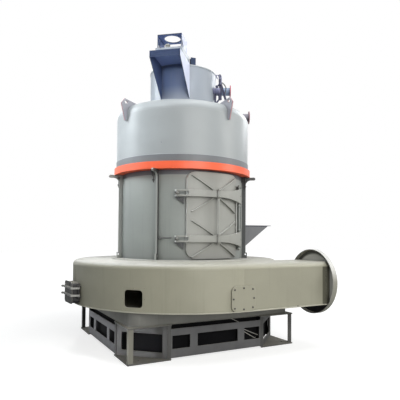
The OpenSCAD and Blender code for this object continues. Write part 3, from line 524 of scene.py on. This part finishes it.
def quarter_wall(quarter, z, out=0.0, start=0.0, end=90.0):
    """Points along one quarter of the spiral wall, from the front round the left side."""
    sx, sy = ((1, -1), (-1, -1), (-1, 1), (1, 1))[quarter]
    radius = wall_first - quarter * wall_step + out
    steps = 24
    path = []
    for i in range(steps + 1):
        angle = math.radians(-90 - 90 * quarter - start - (end - start) * i / steps)
        path.append(Vector((sx * box_shift + radius * math.cos(angle),
                            sy * box_shift + radius * math.sin(angle), z)))
    return path


box_welds = bmesh.new()
duct_joins_at = 47
for quarter, end in enumerate((90, 90, 90, duct_joins_at)):
    bead(box_welds, quarter_wall(quarter, floor_top, 0.001, end=end), 0.005)
# Upright seams stand where one quarter's plate meets the next.
roof_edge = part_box("volute_wall_back_left")[1][2]
for quarter in (1, 2, 3):
    foot = quarter_wall(quarter, floor_top + 0.004, 0.001)[0]
    bead(box_welds, [foot, Vector((foot.x, foot.y, roof_edge - 0.004))], 0.004)
to_piece("air_box_welds", box_welds, box_enamel)

# ---------------- inlet duct
# Square duct of the same plate, ending in a thick round flange for the return air pipe.
# Welded inside the flange; a drain plug sits low on its front wall.
duct_low, duct_high = map(Vector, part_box("inlet_duct_walls"))
flange_low, flange_high = map(Vector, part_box("inlet_flange"))
flange_middle = (flange_low + flange_high) / 2
flange_r = (flange_high.z - flange_low.z) / 2
neck_start = flange_low.x - 0.075
# The end of the duct beside the flange is drawn darker, as it lies in the flange's shade.
at_neck = beyond(rightward, neck_start, neck_start + 0.012, 0.9)
# The duct's faces that look up are painted near white: a painted highlight with a little dust.
duct_enamel = enamel("duct_enamel", (0.345, 0.336, 0.262), box_worn, rub=0.45, shift=0.06,
                     runs=0.2, wave=0.5, coat=0.1,
                     others=(((0.085, 0.083, 0.060), at_neck),
                             ((0.78, 0.78, 0.76), lit_dusty_top)))


def outer_margin(t, place, normal):
    """A cover that rises to 1 towards the flange's rim."""
    across = add_node(t, "VectorMath", {0: place, 1: (0, 1, 1)}, operation="MULTIPLY")[0]
    centre = (0, flange_middle.y, flange_middle.z)
    away = add_node(t, "VectorMath", {0: across, 1: centre}, operation="DISTANCE")["Value"]
    return span(t, away, flange_r - 0.085, flange_r - 0.055)


# The flange's face towards the mill is painted lighter, and the top of its rim paler still:
# painted light and a painted highlight. The margin over the duct and the part under the
# duct are painted dark: painted shade.
inward_face = facing((-1.0, 0.0, 0.0), 0.5, 0.6)
inward_margin = both(both(outer_margin, beyond(skyward, duct_high.z - 0.10, duct_high.z - 0.02)),
                     inward_face)
inward_low = both(beyond(skyward, duct_low.z + 0.08, duct_low.z + 0.04), inward_face)
rim_top = facing(skyward, 0.05, 0.6)
flange_enamel = enamel("flange_enamel", (0.30, 0.296, 0.25), (0.50, 0.49, 0.42), rough=0.45,
                       rub=0.6, grime_and_shade=0.12, shift=0.10, wave=0.1,
                       others=(((0.60, 0.60, 0.57), inward_face),
                               ((0.075, 0.075, 0.068), inward_margin),
                               ((0.010, 0.010, 0.016), inward_low),
                               ((0.72, 0.72, 0.70), rim_top)))
dress(duct_enamel, "inlet_duct_walls")
dress(flange_enamel, "inlet_flange")
steel_black = enamel("steel_black", (0.035, 0.035, 0.038), (0.22, 0.21, 0.19), rough=0.38, rub=0.7,
                     cloud=20, shift=0.25, wave=0.0)
nut_zinc = enamel("nut_zinc", (0.26, 0.26, 0.24), (0.5, 0.49, 0.45), rough=0.35, rub=0.6, cloud=20,
                  shift=0.25, wave=0.0)


def hex_head(bm, foot, axis, across, height, washer=0.003):
    """A chamfered hexagon head or nut on its washer."""
    axis = Vector(axis).normalized()
    foot = Vector(foot)
    if washer:
        turned(bm, foot, axis, ((across * 0.70, 0), (across * 0.74, washer * 0.3),
                                (across * 0.74, washer * 0.8), (across * 0.70, washer)), 20)
    corner = across / math.sqrt(3)
    turned(bm, foot + axis * washer, axis,
           ((corner, 0), (corner, height * 0.8), (corner * 0.86, height)), 6)


def stud(bm, foot, axis, radius, length, pitch=0.0035):
    """A threaded end: the thread stands as a row of rings, with a chamfered tip."""
    outline = []
    turns = int((length - radius * 0.4) / pitch)
    for i in range(turns):
        outline += [(radius * 0.88, i * pitch), (radius, (i + 0.5) * pitch)]
    outline += [(radius * 0.88, turns * pitch), (radius * 0.6, length)]
    turned(bm, foot, axis, outline, 14)


duct_welds = bmesh.new()
round_off = 0.070
near_flange = flange_low.x - 0.001
bead(duct_welds, [Vector((near_flange, duct_low.y, duct_low.z)),
                  Vector((near_flange, duct_low.y, duct_high.z - round_off)),
                  Vector((near_flange, duct_low.y + round_off * 0.3,
                          duct_high.z - round_off * 0.3)),
                  Vector((near_flange, duct_low.y + round_off, duct_high.z + 0.012)),
                  Vector((near_flange, duct_high.y - round_off, duct_high.z + 0.012))], 0.006)
bead(duct_welds, [Vector((box_shift, duct_low.y, floor_top)),
                  Vector((near_flange, duct_low.y, floor_top))], 0.005)
to_piece("duct_welds", duct_welds, duct_enamel)
drain = bmesh.new()
drain_seat = Vector((0.945, duct_low.y, 0.668))
turned(drain, drain_seat + Vector((0, 0.002, 0)), (0, -1, 0),
       ((0.012, 0), (0.012, 0.006), (0.010, 0.008)), 24)
turned(drain, drain_seat - Vector((0, 0.006, 0)), (0, -1, 0), ((0.006, 0), (0.005, 0.004)), 4)
to_piece("drain_plug", drain, steel_black)

# ---------------- inspection cover
# A rounded plate on the air box's front, bolted over a hole that is opened to look at the
# gear; the bolts are plain hexagon screws set back from its edge.
cover_enamel = enamel("cover_enamel", (0.355, 0.345, 0.27), box_worn, rough=0.44, rub=0.7,
                      dust=0.3, shift=0.05, wave=0.1, coat=0.1)
dress(cover_enamel, "inspection_cover")
cover_low, cover_high = map(Vector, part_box("inspection_cover"))
cover_middle = (cover_low + cover_high) / 2
cover_bolts = bmesh.new()
for x, z in ((-0.158, 0), (0.158, 0), (0, 0.137), (0, -0.137), (-0.140, 0.120), (0.140, 0.120),
             (-0.140, -0.120), (0.140, -0.120)):
    hex_head(cover_bolts, (cover_middle.x + x, cover_low.y + 0.0005, cover_middle.z + z),
             (0, -1, 0), 0.017, 0.009, 0.0025)
to_piece("cover_bolts", cover_bolts, steel_black)

# ---------------- side hatch
# A square neck on the air box's left side, closed by a plate on two bent straps. The straps
# turn on a pin, and long swing bolts with hexagon nuts hold them at the other end.
hatch_az = -87
hatch_z = (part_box("hatch_door")[0][2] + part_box("hatch_door")[1][2]) / 2
strap_ups = (-0.032, 0.070)
strap_half = 0.018


def on_straps(t, place, normal):
    """1 at the heights of the two straps, which are drawn paler than the plate behind."""
    height = lean(t, place, skyward)
    away = [sum_up(t, "ABSOLUTE", sum_up(t, "SUBTRACT", height, hatch_z + up), 0)
            for up in strap_ups]
    return sum_up(t, "MAXIMUM", *(span(t, off, strap_half + 0.0005, strap_half - 0.0005)
                                  for off in away))


hatch_dark = enamel("hatch_dark", (0.020, 0.020, 0.023), (0.16, 0.155, 0.15), rough=0.5, rub=0.6,
                    dust=0.6, shift=0.15, wave=0.1)
hatch_enamel = enamel("hatch_enamel", (0.085, 0.085, 0.082), (0.40, 0.39, 0.35), rough=0.45,
                      rub=0.9, dust=0.6, shift=0.1, wave=0.2,
                      others=(((0.46, 0.46, 0.44), on_straps),))
dress(hatch_dark, "hatch_frame", "hatch_hinge")
dress(hatch_enamel, "hatch_door")


def around(azimuth, radius, z=0.0):
    """A point round the mill: 0 degrees is the front, and it turns towards the right."""
    a = math.radians(azimuth)
    return Vector((radius * math.sin(a), -radius * math.cos(a), z))


def beside(azimuth, x):
    """A step of x along the wall at an azimuth, to the right as one faces the mill."""
    a = math.radians(azimuth)
    return Vector((x * math.cos(a), x * math.sin(a), 0))


hatch_plate_out = 1.864
strap_face = 1.884
hatch_out = around(hatch_az, 1)
hatch_nuts = bmesh.new()
for up in strap_ups:
    bolt = around(hatch_az, strap_face, hatch_z + up) + beside(hatch_az, -0.2252)
    hex_head(hatch_nuts, bolt + hatch_out * 0.0135, hatch_out, 0.026, 0.006, 0.0)
    for x in (-0.12, 0.02, 0.15):
        rivet = around(hatch_az, strap_face - 0.0005, hatch_z + up) + beside(hatch_az, x)
        turned(hatch_nuts, rivet, hatch_out,
               ((0.009, 0), (0.0085, 0.003), (0.006, 0.0055), (0.002, 0.0066)), 16)
to_piece("hatch_nuts", hatch_nuts, steel_black, "side_hatch")
hatch_lifts = bmesh.new()
grip_z = hatch_z + 0.118
pipe(hatch_lifts, [around(hatch_az, hatch_plate_out + out, grip_z) + beside(hatch_az, x)
                   for out, x in ((-0.002, -0.055), (0.026, -0.050), (0.030, 0.0),
                                  (0.026, 0.050), (-0.002, 0.055))], 0.006)
to_piece("hatch_grip", hatch_lifts, hatch_enamel, "side_hatch")

# ---------------- grinding casing
# Upright rolled shell round the grinding ring, on a flat foot ring on the air box roof.
# Its six flat ribs end in bolt lugs under the clamp ring. Sprayed a cooler grey.
casing_paint = (0.302, 0.325, 0.309)
casing_worn = (0.46, 0.47, 0.44)
casing_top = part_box("casing_left")[1][2]
band_low = casing_top - 0.070


def outward_edge(t, place, normal):
    """1 on the faces that look away from the mill's axis."""
    flat = add_node(t, "VectorMath", {0: place, 1: (1, 1, 0)}, operation="MULTIPLY")[0]
    outward = add_node(t, "VectorMath", {0: flat}, operation="NORMALIZE")[0]
    return span(t, lean(t, outward, normal), 0.45, 0.55)


# Painted darker, a painted shade: the band under the clamp ring, the foot of the casing and
# of its door, the ribs' sides towards the door and the ribs at the right. The ribs' outer
# edges are painted lighter: a painted highlight.
under_ring = beyond(skyward, band_low - 0.002, band_low + 0.002, 0.85)
casing_low = beyond(skyward, 1.62, 1.30, 0.45)
inner_sides = facing((0.69, -0.72, 0.0), 0.90, 0.96)
right_hand = beyond(rightward, 0.55, 0.60)
casing_enamel = enamel("casing_enamel", casing_paint, casing_worn, rough=0.40, grime_and_shade=0.6,
                       shift=0.06, runs=0.3, wave=0.35, coat=0.1,
                       others=(((0.085, 0.095, 0.120), under_ring),
                               ((0.135, 0.145, 0.142), casing_low)))
rib_enamel = enamel("rib_enamel", (0.231, 0.247, 0.235), casing_worn, rub=0.65, dust=0.3,
                    grime_and_shade=0.5, shift=0.06, wave=0.1,
                    others=(((0.34, 0.355, 0.34), outward_edge),
                            ((0.055, 0.06, 0.058), inner_sides),
                            ((0.080, 0.086, 0.088), right_hand)))
# The casing's foot ring is painted paler than the casing: a painted highlight on its lit top.
ring_edge = enamel("ring_edge", (0.50, 0.50, 0.47), (0.66, 0.65, 0.60), rough=0.4, rub=0.7,
                   dust=0.5, wave=0.1)
dress(casing_enamel, "casing_below_door", "casing_above_door", "casing_left", "casing_back",
      "casing_right")
dress(ring_edge, "casing_foot_ring")
dress(rib_enamel, "casing_ribs")
casing_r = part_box("casing_right")[1][0]
casing_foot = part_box("casing_foot_ring")[1][2]
rib_half = 0.015
door_az = 3
rib_azimuths = [door_az + 49 + i * 52.4 for i in range(6)]


def hoop(radius, z, steps=96):
    """Points of a full turn round the mill, back to the first one."""
    return [around(360 * i / steps, radius, z) for i in range(steps + 1)]


casing_welds = bmesh.new()
bead(casing_welds, hoop(casing_r + 0.001, casing_foot), 0.006, closed=True)
for azimuth in rib_azimuths:
    for side in (-1, 1):
        foot = around(azimuth, casing_r, casing_foot + 0.01) + beside(azimuth, side * rib_half)
        bead(casing_welds, [foot, Vector((foot.x, foot.y, casing_top - 0.02))], 0.005)
to_piece("casing_welds", casing_welds, casing_enamel)
foot_ring_weld = bmesh.new()
foot_ring_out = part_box("casing_foot_ring")[1][0]
bead(foot_ring_weld, hoop(foot_ring_out + 0.001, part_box("casing_foot_ring")[0][2] + 0.002),
     0.005, closed=True)
to_piece("foot_ring_weld", foot_ring_weld, ring_edge)

# Bolts through the ribs' upper holes, which hold the lugs of the ring above.
rib_bolts = bmesh.new()
rib_bolt_out, rib_bolt_z = casing_r + 0.070, 2.568
for azimuth in rib_azimuths:
    eye = around(azimuth, rib_bolt_out, rib_bolt_z)
    for side in (-1, 1):
        hex_head(rib_bolts, eye + beside(azimuth, side * rib_half), beside(azimuth, side),
                 0.030, 0.016, 0.003)
to_piece("rib_bolts", rib_bolts, steel_black)

# Clamp bolt beside each rib: a curved tab under the ring, with a long stud and its nut.
clamp_tabs = bmesh.new()
clamp_studs = bmesh.new()
ring_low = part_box("clamp_ring")[0][2]
tab_thick = 0.010
tab_turn, stud_turn = -4.7, -2.9
tab_reach, stud_out = 0.088, 0.058
tab_lip = -0.016
for azimuth in rib_azimuths:
    profile = [(0.002, 0.0), (tab_reach, 0.0), (tab_reach, tab_lip)]
    for i in range(9):
        angle = math.radians(90 * i / 8)
        profile.append((tab_reach - 0.060 * math.sin(angle),
                        tab_lip - 0.075 * (1 - math.cos(angle))))
    profile.append((0.002, -0.096))
    loft(clamp_tabs, [[clamp_tabs.verts.new(
        around(azimuth + tab_turn, casing_r + out, ring_low - 0.001 + z)
        + beside(azimuth, side * tab_thick / 2)) for out, z in profile] for side in (1, -1)])
    hang = around(azimuth + stud_turn, casing_r + stud_out, ring_low)
    hex_head(clamp_studs, hang, (0, 0, -1), 0.030, 0.014, 0.003)
    stud(clamp_studs, hang - Vector((0, 0, 0.012)), (0, 0, -1), 0.009, 0.180)
    hex_head(clamp_studs, hang - Vector((0, 0, 0.145)), (0, 0, -1), 0.030, 0.018, 0.003)
to_piece("clamp_tabs", clamp_tabs, steel_black)
to_piece("clamp_studs", clamp_studs, steel_black)

# ---------------- access door
# A curved plate with rounded corners over a welded frame. Two trumpet-shaped arms carry it
# on a long pin at the right, and forks at their left ends take swing bolts. A thin grab
# rail runs upright at the door's right.
arm_heights = (1.608, 2.268)
# Sides that look up and left are drawn lighter, as they catch the light.
upper_sides = facing((-0.7, 0.0, 0.7), 0.55, 0.68, 0.9)
# The door's foot is painted darker with the casing's painted shade.
door_enamel = enamel("door_enamel", (0.328, 0.332, 0.309), (0.52, 0.52, 0.47), rough=0.40, rub=0.6,
                     dust=0.35, grime_and_shade=0.55, shift=0.05, runs=0.2, wave=0.25, coat=0.1,
                     others=(((0.150, 0.150, 0.155), casing_low),
                             ((0.80, 0.81, 0.79), upper_sides)))
dress(door_enamel, "door_panel", "door_arms")
dress(casing_enamel, "door_frame")
door_face = 1.043
arm_face = door_face + 0.066
rod_out = 1.1233
arm_half = 0.048
door_nuts = bmesh.new()
for z in arm_heights:
    for side in (-1, 1):
        place = around(door_az, rod_out, z + side * arm_half)
        hex_head(door_nuts, place, (0, 0, side), 0.042, 0.020, 0.004)
to_piece("centre_rod_nuts", door_nuts, nut_zinc, "main_door")
arm_welds = bmesh.new()
for z in arm_heights:
    for side in (-1, 1):
        path = [around(door_az + a, door_face + 0.001, z + side * (arm_half + 0.001))
                for a in (-22, -16, -10, -4, 2)]
        bead(arm_welds, path, 0.004)
to_piece("arm_welds", arm_welds, door_enamel, "main_door")

grab_rail = bmesh.new()
rail_az = 26.3
pipe(grab_rail, [around(rail_az, 1.062, z) for z in (arm_heights[0] + 0.055,
                                                     arm_heights[1] - 0.065)], 0.009)
rail_enamel = enamel("rail_enamel", (0.52, 0.53, 0.51), (0.66, 0.66, 0.62), rough=0.4, dust=0.2,
                     grime_and_shade=0.2, wave=0.0)
to_piece("door_grab_rail", grab_rail, rail_enamel, "main_door")

# ---------------- door hinge
# Four lugs and an upright plate, flame cut and welded to the shell, with one long pin held
# by a nut and washer at each end.
dress(rib_enamel, "door_hinge")
pin_middle = next(Vector(joint["pos_m"]) for joint in frame["record"]["behaviour"]["joints"]
                  if joint["name"] == "main_door_hinge")
pin_low, pin_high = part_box("door_hinge")[0][2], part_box("door_hinge")[1][2]
lug_face = 0.012
hinge_nuts = bmesh.new()
for z, way in ((pin_high - lug_face, 1), (pin_low + lug_face, -1)):
    hex_head(hinge_nuts, (pin_middle.x, pin_middle.y, z), (0, 0, way), 0.044, 0.016, 0.003)
to_piece("hinge_pin_nuts", hinge_nuts, nut_zinc)
grease = bmesh.new()
out = Vector((pin_middle.x, pin_middle.y, 0)).normalized()
for z in arm_heights:
    turned(grease, Vector((pin_middle.x, pin_middle.y, z)) + out * 0.0255, out,
           ((0.006, 0), (0.006, 0.006), (0.0035, 0.008), (0.0035, 0.012), (0.002, 0.014)), 12)
to_piece("grease_nipples", grease, nut_zinc, "main_door")

# ---------------- door latches
# Swing bolts on blocks at the door's left side; dark gusset plates under the blocks are a
# painted shadow of them. Each has a nut on its fork, and a tie rod with an eye runs back to
# the rib beside the lower one.
latch_enamel = enamel("latch_enamel", (0.085, 0.088, 0.092), casing_worn, rub=0.8, dust=0.3,
                      grime_and_shade=0.6, shift=0.1, wave=0.1)
dress(latch_enamel, "door_latches")
# Dark triangular plates under the latch blocks: a painted shadow of the latches.
shadow_gussets = bmesh.new()
gusset_left, gusset_right, lug_az = -32.0, -24.0, -26.2
gusset_out, gusset_thick = casing_r + 0.030, 0.010
backward = around((gusset_left + gusset_right) / 2, -gusset_thick)
for z in arm_heights:
    corners = [around(azimuth, gusset_out, z - drop) for azimuth, drop in (
        (gusset_left, 0.052), (gusset_right, 0.052), (gusset_right, 0.158))]
    loft(shadow_gussets, [[shadow_gussets.verts.new(corner + step) for corner in corners]
                   for step in (backward, Vector())])
    turned(shadow_gussets, around(lug_az, casing_r + 0.002, z - 0.075), around(lug_az, 1),
           ((0.012, 0), (0.012, 0.026)), 12)
to_piece("latch_shadow_gussets", shadow_gussets, latch_enamel)
latch_az = -29.35
latch_tips = bmesh.new()
for z in arm_heights:
    out = around(latch_az, 1)
    hex_head(latch_tips, around(latch_az, arm_face + 0.006, z), out, 0.034, 0.006, 0.003)
    stud(latch_tips, around(latch_az, arm_face + 0.028, z), out, 0.0104, 0.016)
to_piece("latch_nuts", latch_tips, nut_zinc)
tie = bmesh.new()
tie_z = arm_heights[0] + 0.012
eye_az, eye_out = -43.2, around(-43.2, 1)
tie_eye = around(eye_az, casing_r + 0.035, tie_z)
pipe(tie, [tie_eye, around(-40.5, casing_r + 0.040, tie_z), around(-37, casing_r + 0.044, tie_z),
           around(-33.6, casing_r + 0.048, tie_z + 0.002)], 0.009)
turned(tie, tie_eye - around(eye_az, 0.013), eye_out,
       ((0.020, 0), (0.023, 0.003), (0.023, 0.023), (0.020, 0.026)), 24)
turned(tie, around(eye_az, casing_r - 0.002, tie_z), eye_out,
       ((0.011, 0), (0.011, 0.052), (0.009, 0.055)), 16)
to_piece("latch_tie_rod", tie, latch_enamel)

# ---------------- feed hopper
# An open sheet chute on the casing's right side, under the feeder, welded to the shell.
# Painted a darker blue-grey than the casing.
hopper_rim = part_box("feed_hopper")[1][2] - 0.022
# The rim that is turned over at the top is drawn darker.
turned_rim = beyond(skyward, hopper_rim - 0.001, hopper_rim + 0.001)
hopper_enamel = enamel("hopper_enamel", (0.160, 0.166, 0.178), (0.30, 0.31, 0.31), rough=0.45,
                       dust=0.3, runs=0.3, wave=0.4,
                       others=(((0.045, 0.047, 0.066), turned_rim),))
dress(hopper_enamel, "feed_hopper")

# ---------------- clamp ring
# Heavy rolled ring that clamps the hood to the casing, held by the studs at the ribs.
# Sprayed signal orange, semi-gloss, with a little dust on its top.
ring_enamel = enamel("ring_enamel", (0.94, 0.128, 0.042), (0.90, 0.36, 0.24), dust=0.3, grime_and_shade=0.4,
                     shift=0.03, runs=0.15, wave=0.15, coat=0.15)
dress(ring_enamel, "clamp_ring")

# ---------------- hood
# Rolled shell with a dished, rounded roof on the clamp ring. Its foot band is a darker
# grey; the shell is sprayed light grey and still has its gloss.
band_enamel = enamel("band_enamel", (0.153, 0.166, 0.178), (0.36, 0.38, 0.38), rough=0.45,
                     dust=0.4, grime_and_shade=0.5, shift=0.10, runs=0.3, wave=0.2)
dress(band_enamel, "hood_band")
hood_enamel = enamel("hood_enamel", (0.332, 0.357, 0.367), (0.52, 0.53, 0.52), rub=0.4, dust=0.15,
                     grime_and_shade=0.35, shift=0.04, wave=0.45, coat=0.1)
dress(hood_enamel, "hood_shell", "hood_roof")
hood_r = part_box("hood_shell")[1][0]
plug = bmesh.new()
plug_az, plug_z = -41.7, 3.004
plug_out = around(plug_az, 1)
turned(plug, around(plug_az, hood_r - 0.003, plug_z), plug_out,
       ((0.008, 0), (0.008, 0.007), (0.007, 0.009)), 24)
turned(plug, around(plug_az, hood_r + 0.005, plug_z), plug_out, ((0.005, 0), (0.004, 0.005)), 6)
to_piece("hood_plug", plug, band_enamel)
hood_welds = bmesh.new()
bead(hood_welds, hoop(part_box("hood_band")[1][0] - 0.004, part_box("hood_band")[1][2] + 0.001),
     0.005, closed=True)
to_piece("hood_foot_weld", hood_welds, hood_enamel)

# ---------------- lifting ears
# Four flame-cut plates welded on the hood's shoulder. The faces are primer grey, and their
# outer edges are drawn in a thin red wash.
ear_enamel = enamel("ear_enamel", (0.34, 0.345, 0.39), (0.46, 0.45, 0.46), rough=0.45, rub=0.4,
                    dust=0.3, shift=0.1, wave=0.1,
                    others=(((0.40, 0.20, 0.215), outward_edge),))
dress(ear_enamel, "lifting_ears")

# ---------------- small pipes with red flanges
# A stub on the hood's shoulder and a pipe beside the drum, grey with red flange discs, each
# disc held by bolts to its blind plate.
flange_red = (0.50, 0.060, 0.105)
stub_red = (0.26, 0.11, 0.135)


def pipe_end(azimuth, reach):
    """A cover of the flange disc at a pipe's end."""
    return beyond(around(azimuth, 1), reach - 0.0150, reach - 0.0140)


stub_az, stub_reach = 63, 1.120
side_pipe_az, side_pipe_reach = 61, 0.800
stub_enamel = enamel("stub_enamel", (0.21, 0.195, 0.24), (0.4, 0.4, 0.42), rough=0.4, rub=0.4,
                     wave=0.1,
                     others=((stub_red, pipe_end(stub_az, stub_reach)),))
side_pipe_enamel = enamel("side_pipe_enamel", (0.20, 0.27, 0.40), (0.5, 0.5, 0.5), rough=0.4,
                          rub=0.4, wave=0.1,
                          others=((flange_red, pipe_end(side_pipe_az, side_pipe_reach)),))
dress(stub_enamel, "hood_stub")
dress(side_pipe_enamel, "side_pipe")

# ---------------- separator drum
# Upright drum of the powder separator on the hood, with a flat cover plate. Sprayed a bluer
# grey than the hood; the cover is held by screws round its rim.
outlet_az = -40
outlet_half = 0.2245
drum_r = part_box("separator_drum")[1][0]
drum_foot, drum_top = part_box("separator_drum")[0][2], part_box("drum_roof")[1][2]


def behind_outlet(t, place, normal):
    """A cover of the drum's wall behind the outlet's mouth, which is drawn in its shade."""
    aside = sum_up(t, "ABSOLUTE", lean(t, place, beside(outlet_az, 1)), 0)
    share = span(t, aside, outlet_half + 0.004, outlet_half - 0.004)
    for cover in (beyond(around(outlet_az, 1), 0.10, 0.12), beyond(skyward, 3.72, 4.02),
                  beyond(skyward, drum_top, drum_top - 0.002)):
        share = sum_up(t, "MULTIPLY", share, cover(t, place, normal))
    return share


outlet_shade = (0.090, 0.125, 0.230)
drum_enamel = enamel("drum_enamel", (0.257, 0.285, 0.323), (0.52, 0.53, 0.54), dust=0.2, grime_and_shade=0.5,
                     shift=0.05, runs=0.2, wave=0.4,
                     others=((outlet_shade, behind_outlet),))
dress(drum_enamel, "separator_drum", "bearing_box")
cover_paint = enamel("cover_paint", (0.46, 0.49, 0.51), (0.56, 0.58, 0.58), rough=0.45, rub=0.3,
                     dust=0.2, grime_and_shade=0.0, shift=0.05, wave=0.2,
                     others=((outlet_shade, behind_outlet),))
dress(cover_paint, "drum_roof")
drum_weld = bmesh.new()
bead(drum_weld, hoop(drum_r + 0.001, drum_foot + 0.001), 0.006, closed=True)
to_piece("drum_foot_weld", drum_weld, drum_enamel)
roof_screws = bmesh.new()
for i in range(24):
    azimuth = 7.5 + 15 * i
    if -85 < (azimuth + 180) % 360 - 180 < 5:
        continue
    hex_head(roof_screws, around(azimuth, drum_r - 0.032, drum_top - 0.0003), (0, 0, 1), 0.019,
             0.010, 0.0025)
to_piece("drum_roof_screws", roof_screws, steel_black)

# ---------------- outlet hood
# A rectangular outlet bent from dark blue-grey plate, cut through the drum's wall. Its
# cheeks' outer faces and its undersides are painted lighter, a painted highlight and painted
# light, and its lip is painted darker, a painted shade.


def outer_cheeks(t, place, normal):
    """1 on the sides that look away from the middle of the outlet."""
    across = beside(outlet_az, 1)
    away = sum_up(t, "MULTIPLY", lean(t, place, across), lean(t, normal, across))
    return span(t, away, 0.08, 0.12)


# Painted light on the undersides and a painted highlight on the outer cheeks; painted shade on the
# lip.
underside = facing((0.0, 0.0, -1.0), 0.5, 0.7)
outlet_lip = facing(around(outlet_az, 1), 0.45, 0.60)
outlet_enamel = enamel("outlet_enamel", (0.092, 0.130, 0.262), (0.16, 0.20, 0.31), rough=0.6,
                       rub=0.3, grime_and_shade=0.1, shift=0.1, shine=0.2,
                       others=(((0.240, 0.315, 0.590), underside),
                               ((0.60, 0.63, 0.76), outer_cheeks),
                               ((0.022, 0.036, 0.082), outlet_lip)))
dress(outlet_enamel, "outlet_hood", "motor_stand")
bracket_enamel = enamel("bracket_enamel", (0.022, 0.036, 0.075), (0.10, 0.13, 0.20), rough=0.6,
                        rub=0.3, dust=0.3, wave=0.1, shine=0.2)
dress(bracket_enamel, "roof_bracket")
oil_filler = bmesh.new()
box_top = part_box("bearing_box")[1][2]
turned(oil_filler, around(outlet_az, 0.800, box_top - 0.0005) + beside(outlet_az, -0.040),
       (0, 0, 1), ((0.048, 0), (0.048, 0.012), (0.030, 0.016), (0.030, 0.040), (0.038, 0.044),
                   (0.038, 0.066), (0.030, 0.074), (0.0, 0.076)), 24)
to_piece("oil_filler", oil_filler, nut_zinc)

# ---------------- side actuator
# A small gearmotor bolted to the drum turns the separator's damper through a mast, knee
# levers and struts that stand on the hood. Cast and flat parts, painted blue-grey.
actuator_az = 44
motor_enamel = enamel("motor_enamel", (0.135, 0.140, 0.235), (0.35, 0.36, 0.42), rough=0.4,
                      rub=0.4, dust=0.3, cloud=8, shift=0.15, wave=0.1, coat=0.2)
lever_enamel = enamel("lever_enamel", (0.026, 0.028, 0.070), (0.20, 0.21, 0.30), rough=0.4,
                      dust=0.3, cloud=8, shift=0.15, wave=0.1, coat=0.2)
mast_enamel = enamel("mast_enamel", (0.30, 0.31, 0.45), (0.45, 0.46, 0.52), rough=0.4, rub=0.4,
                     dust=0.2, cloud=8, shift=0.15, wave=0.1)
hood_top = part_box("hood_roof")[1][2]


def by_drum(out, across, z):
    """A point beside the drum, out from its axis and across to the right, at a height."""
    return around(actuator_az, out, z) + beside(actuator_az, across)


def flat_bar(bm, low_end, high_end, width, thick):
    """A flat bar between two points, with its broad side towards the drum's flank."""
    run = (high_end - low_end).normalized()
    face = beside(actuator_az, 1)
    wide = run.cross(face).normalized() * (width / 2)
    deep = wide.cross(run).normalized() * (thick / 2)
    loft(bm, [[bm.verts.new(end + wide * a + deep * b) for a, b in square_signs]
              for end in (low_end, high_end)])


drum_outward = around(actuator_az, 1)
sideways = beside(actuator_az, 1)
motor_z = 4.045
motor = bmesh.new()
turned(motor, by_drum(drum_r - 0.004, -0.018, motor_z), drum_outward,
       ((0.066, 0), (0.066, 0.016), (0.050, 0.020), (0.050, 0.034), (0.058, 0.040),
        (0.059, 0.080), (0.052, 0.098), (0.034, 0.110), (0.0, 0.114)), 28)
turned(motor, by_drum(0.600, -0.018, motor_z + 0.045), (0, 0, 1),
       ((0.020, 0), (0.020, 0.030), (0.014, 0.036), (0.0, 0.038)), 16)
actuator_motor = to_piece("actuator_motor", motor, motor_enamel)
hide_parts("side_actuator")

mast = bmesh.new()
mast_out = 0.647
for across in (-0.016, 0.016):
    flat_bar(mast, by_drum(mast_out + 0.003, across, 4.150), by_drum(mast_out, across, 4.292),
             0.046, 0.006)
turned(mast, by_drum(mast_out, -0.024, 4.292), sideways,
       ((0.023, 0), (0.023, 0.048), (0.0, 0.048)), 20)
flat_bar(mast, by_drum(0.606, -0.018, 4.245), by_drum(0.585, -0.022, 4.316), 0.014, 0.006)
flat_bar(mast, by_drum(0.585, -0.018, 4.312), by_drum(0.640, -0.018, 4.305), 0.012, 0.006)
to_piece("actuator_mast", mast, mast_enamel)

levers = bmesh.new()
for z, size in ((4.232, 0.017), (4.160, 0.014), (3.925, 0.024), (4.075, 0.016)):
    turned(levers, by_drum(mast_out, -0.034, z), sideways,
           ((size, 0), (size, 0.060), (0.0, 0.060)), 16)
for z, size in ((4.292, 0.020), (4.197, 0.012)):
    pipe(levers, [by_drum(mast_out + size * math.cos(math.pi * i / 8), -0.028,
                          z + size * math.sin(math.pi * i / 8)) for i in range(17)], 0.005, 8)
turned(levers, by_drum(0.600, -0.060, 4.112), sideways,
       ((0.018, 0), (0.018, 0.045), (0.0, 0.045)), 16)
strip_out = drum_r + 0.006
for low_end, high_end, width, thick in (
        ((0.590, -0.030, 4.100), (0.655, -0.020, 4.170), 0.024, 0.010),
        ((0.654, -0.006, 3.900), (0.650, -0.002, 4.180), 0.044, 0.012),
        ((0.735, 0.020, 3.905), (0.658, -0.002, 4.175), 0.036, 0.010),
        ((0.735, 0.020, hood_top), (0.735, 0.020, 3.915), 0.014, 0.010),
        ((0.569, -0.030, hood_top), (0.577, -0.028, 4.000), 0.030, 0.010),
        ((0.660, -0.010, 3.910), (0.612, -0.022, 4.005), 0.028, 0.010),
        ((0.592, -0.024, 3.850), (0.650, -0.010, 3.925), 0.026, 0.010),
        ((0.592, -0.024, hood_top), (0.592, -0.024, 3.855), 0.022, 0.010),
        ((strip_out, -0.036, 3.890), (strip_out, -0.036, 4.060), 0.014, 0.012)):
    flat_bar(levers, by_drum(*low_end), by_drum(*high_end), width, thick)
to_piece("actuator_levers", levers, lever_enamel)

air_hose = bmesh.new()
pipe(air_hose, [by_drum(0.655, 0.0, 4.184), by_drum(0.690, 0.008, 4.178),
                by_drum(0.738, 0.022, 4.105), by_drum(0.726, 0.018, 4.010),
                by_drum(0.716, 0.022, 3.960)], 0.008)
to_piece("actuator_hose", air_hose, steel_black)
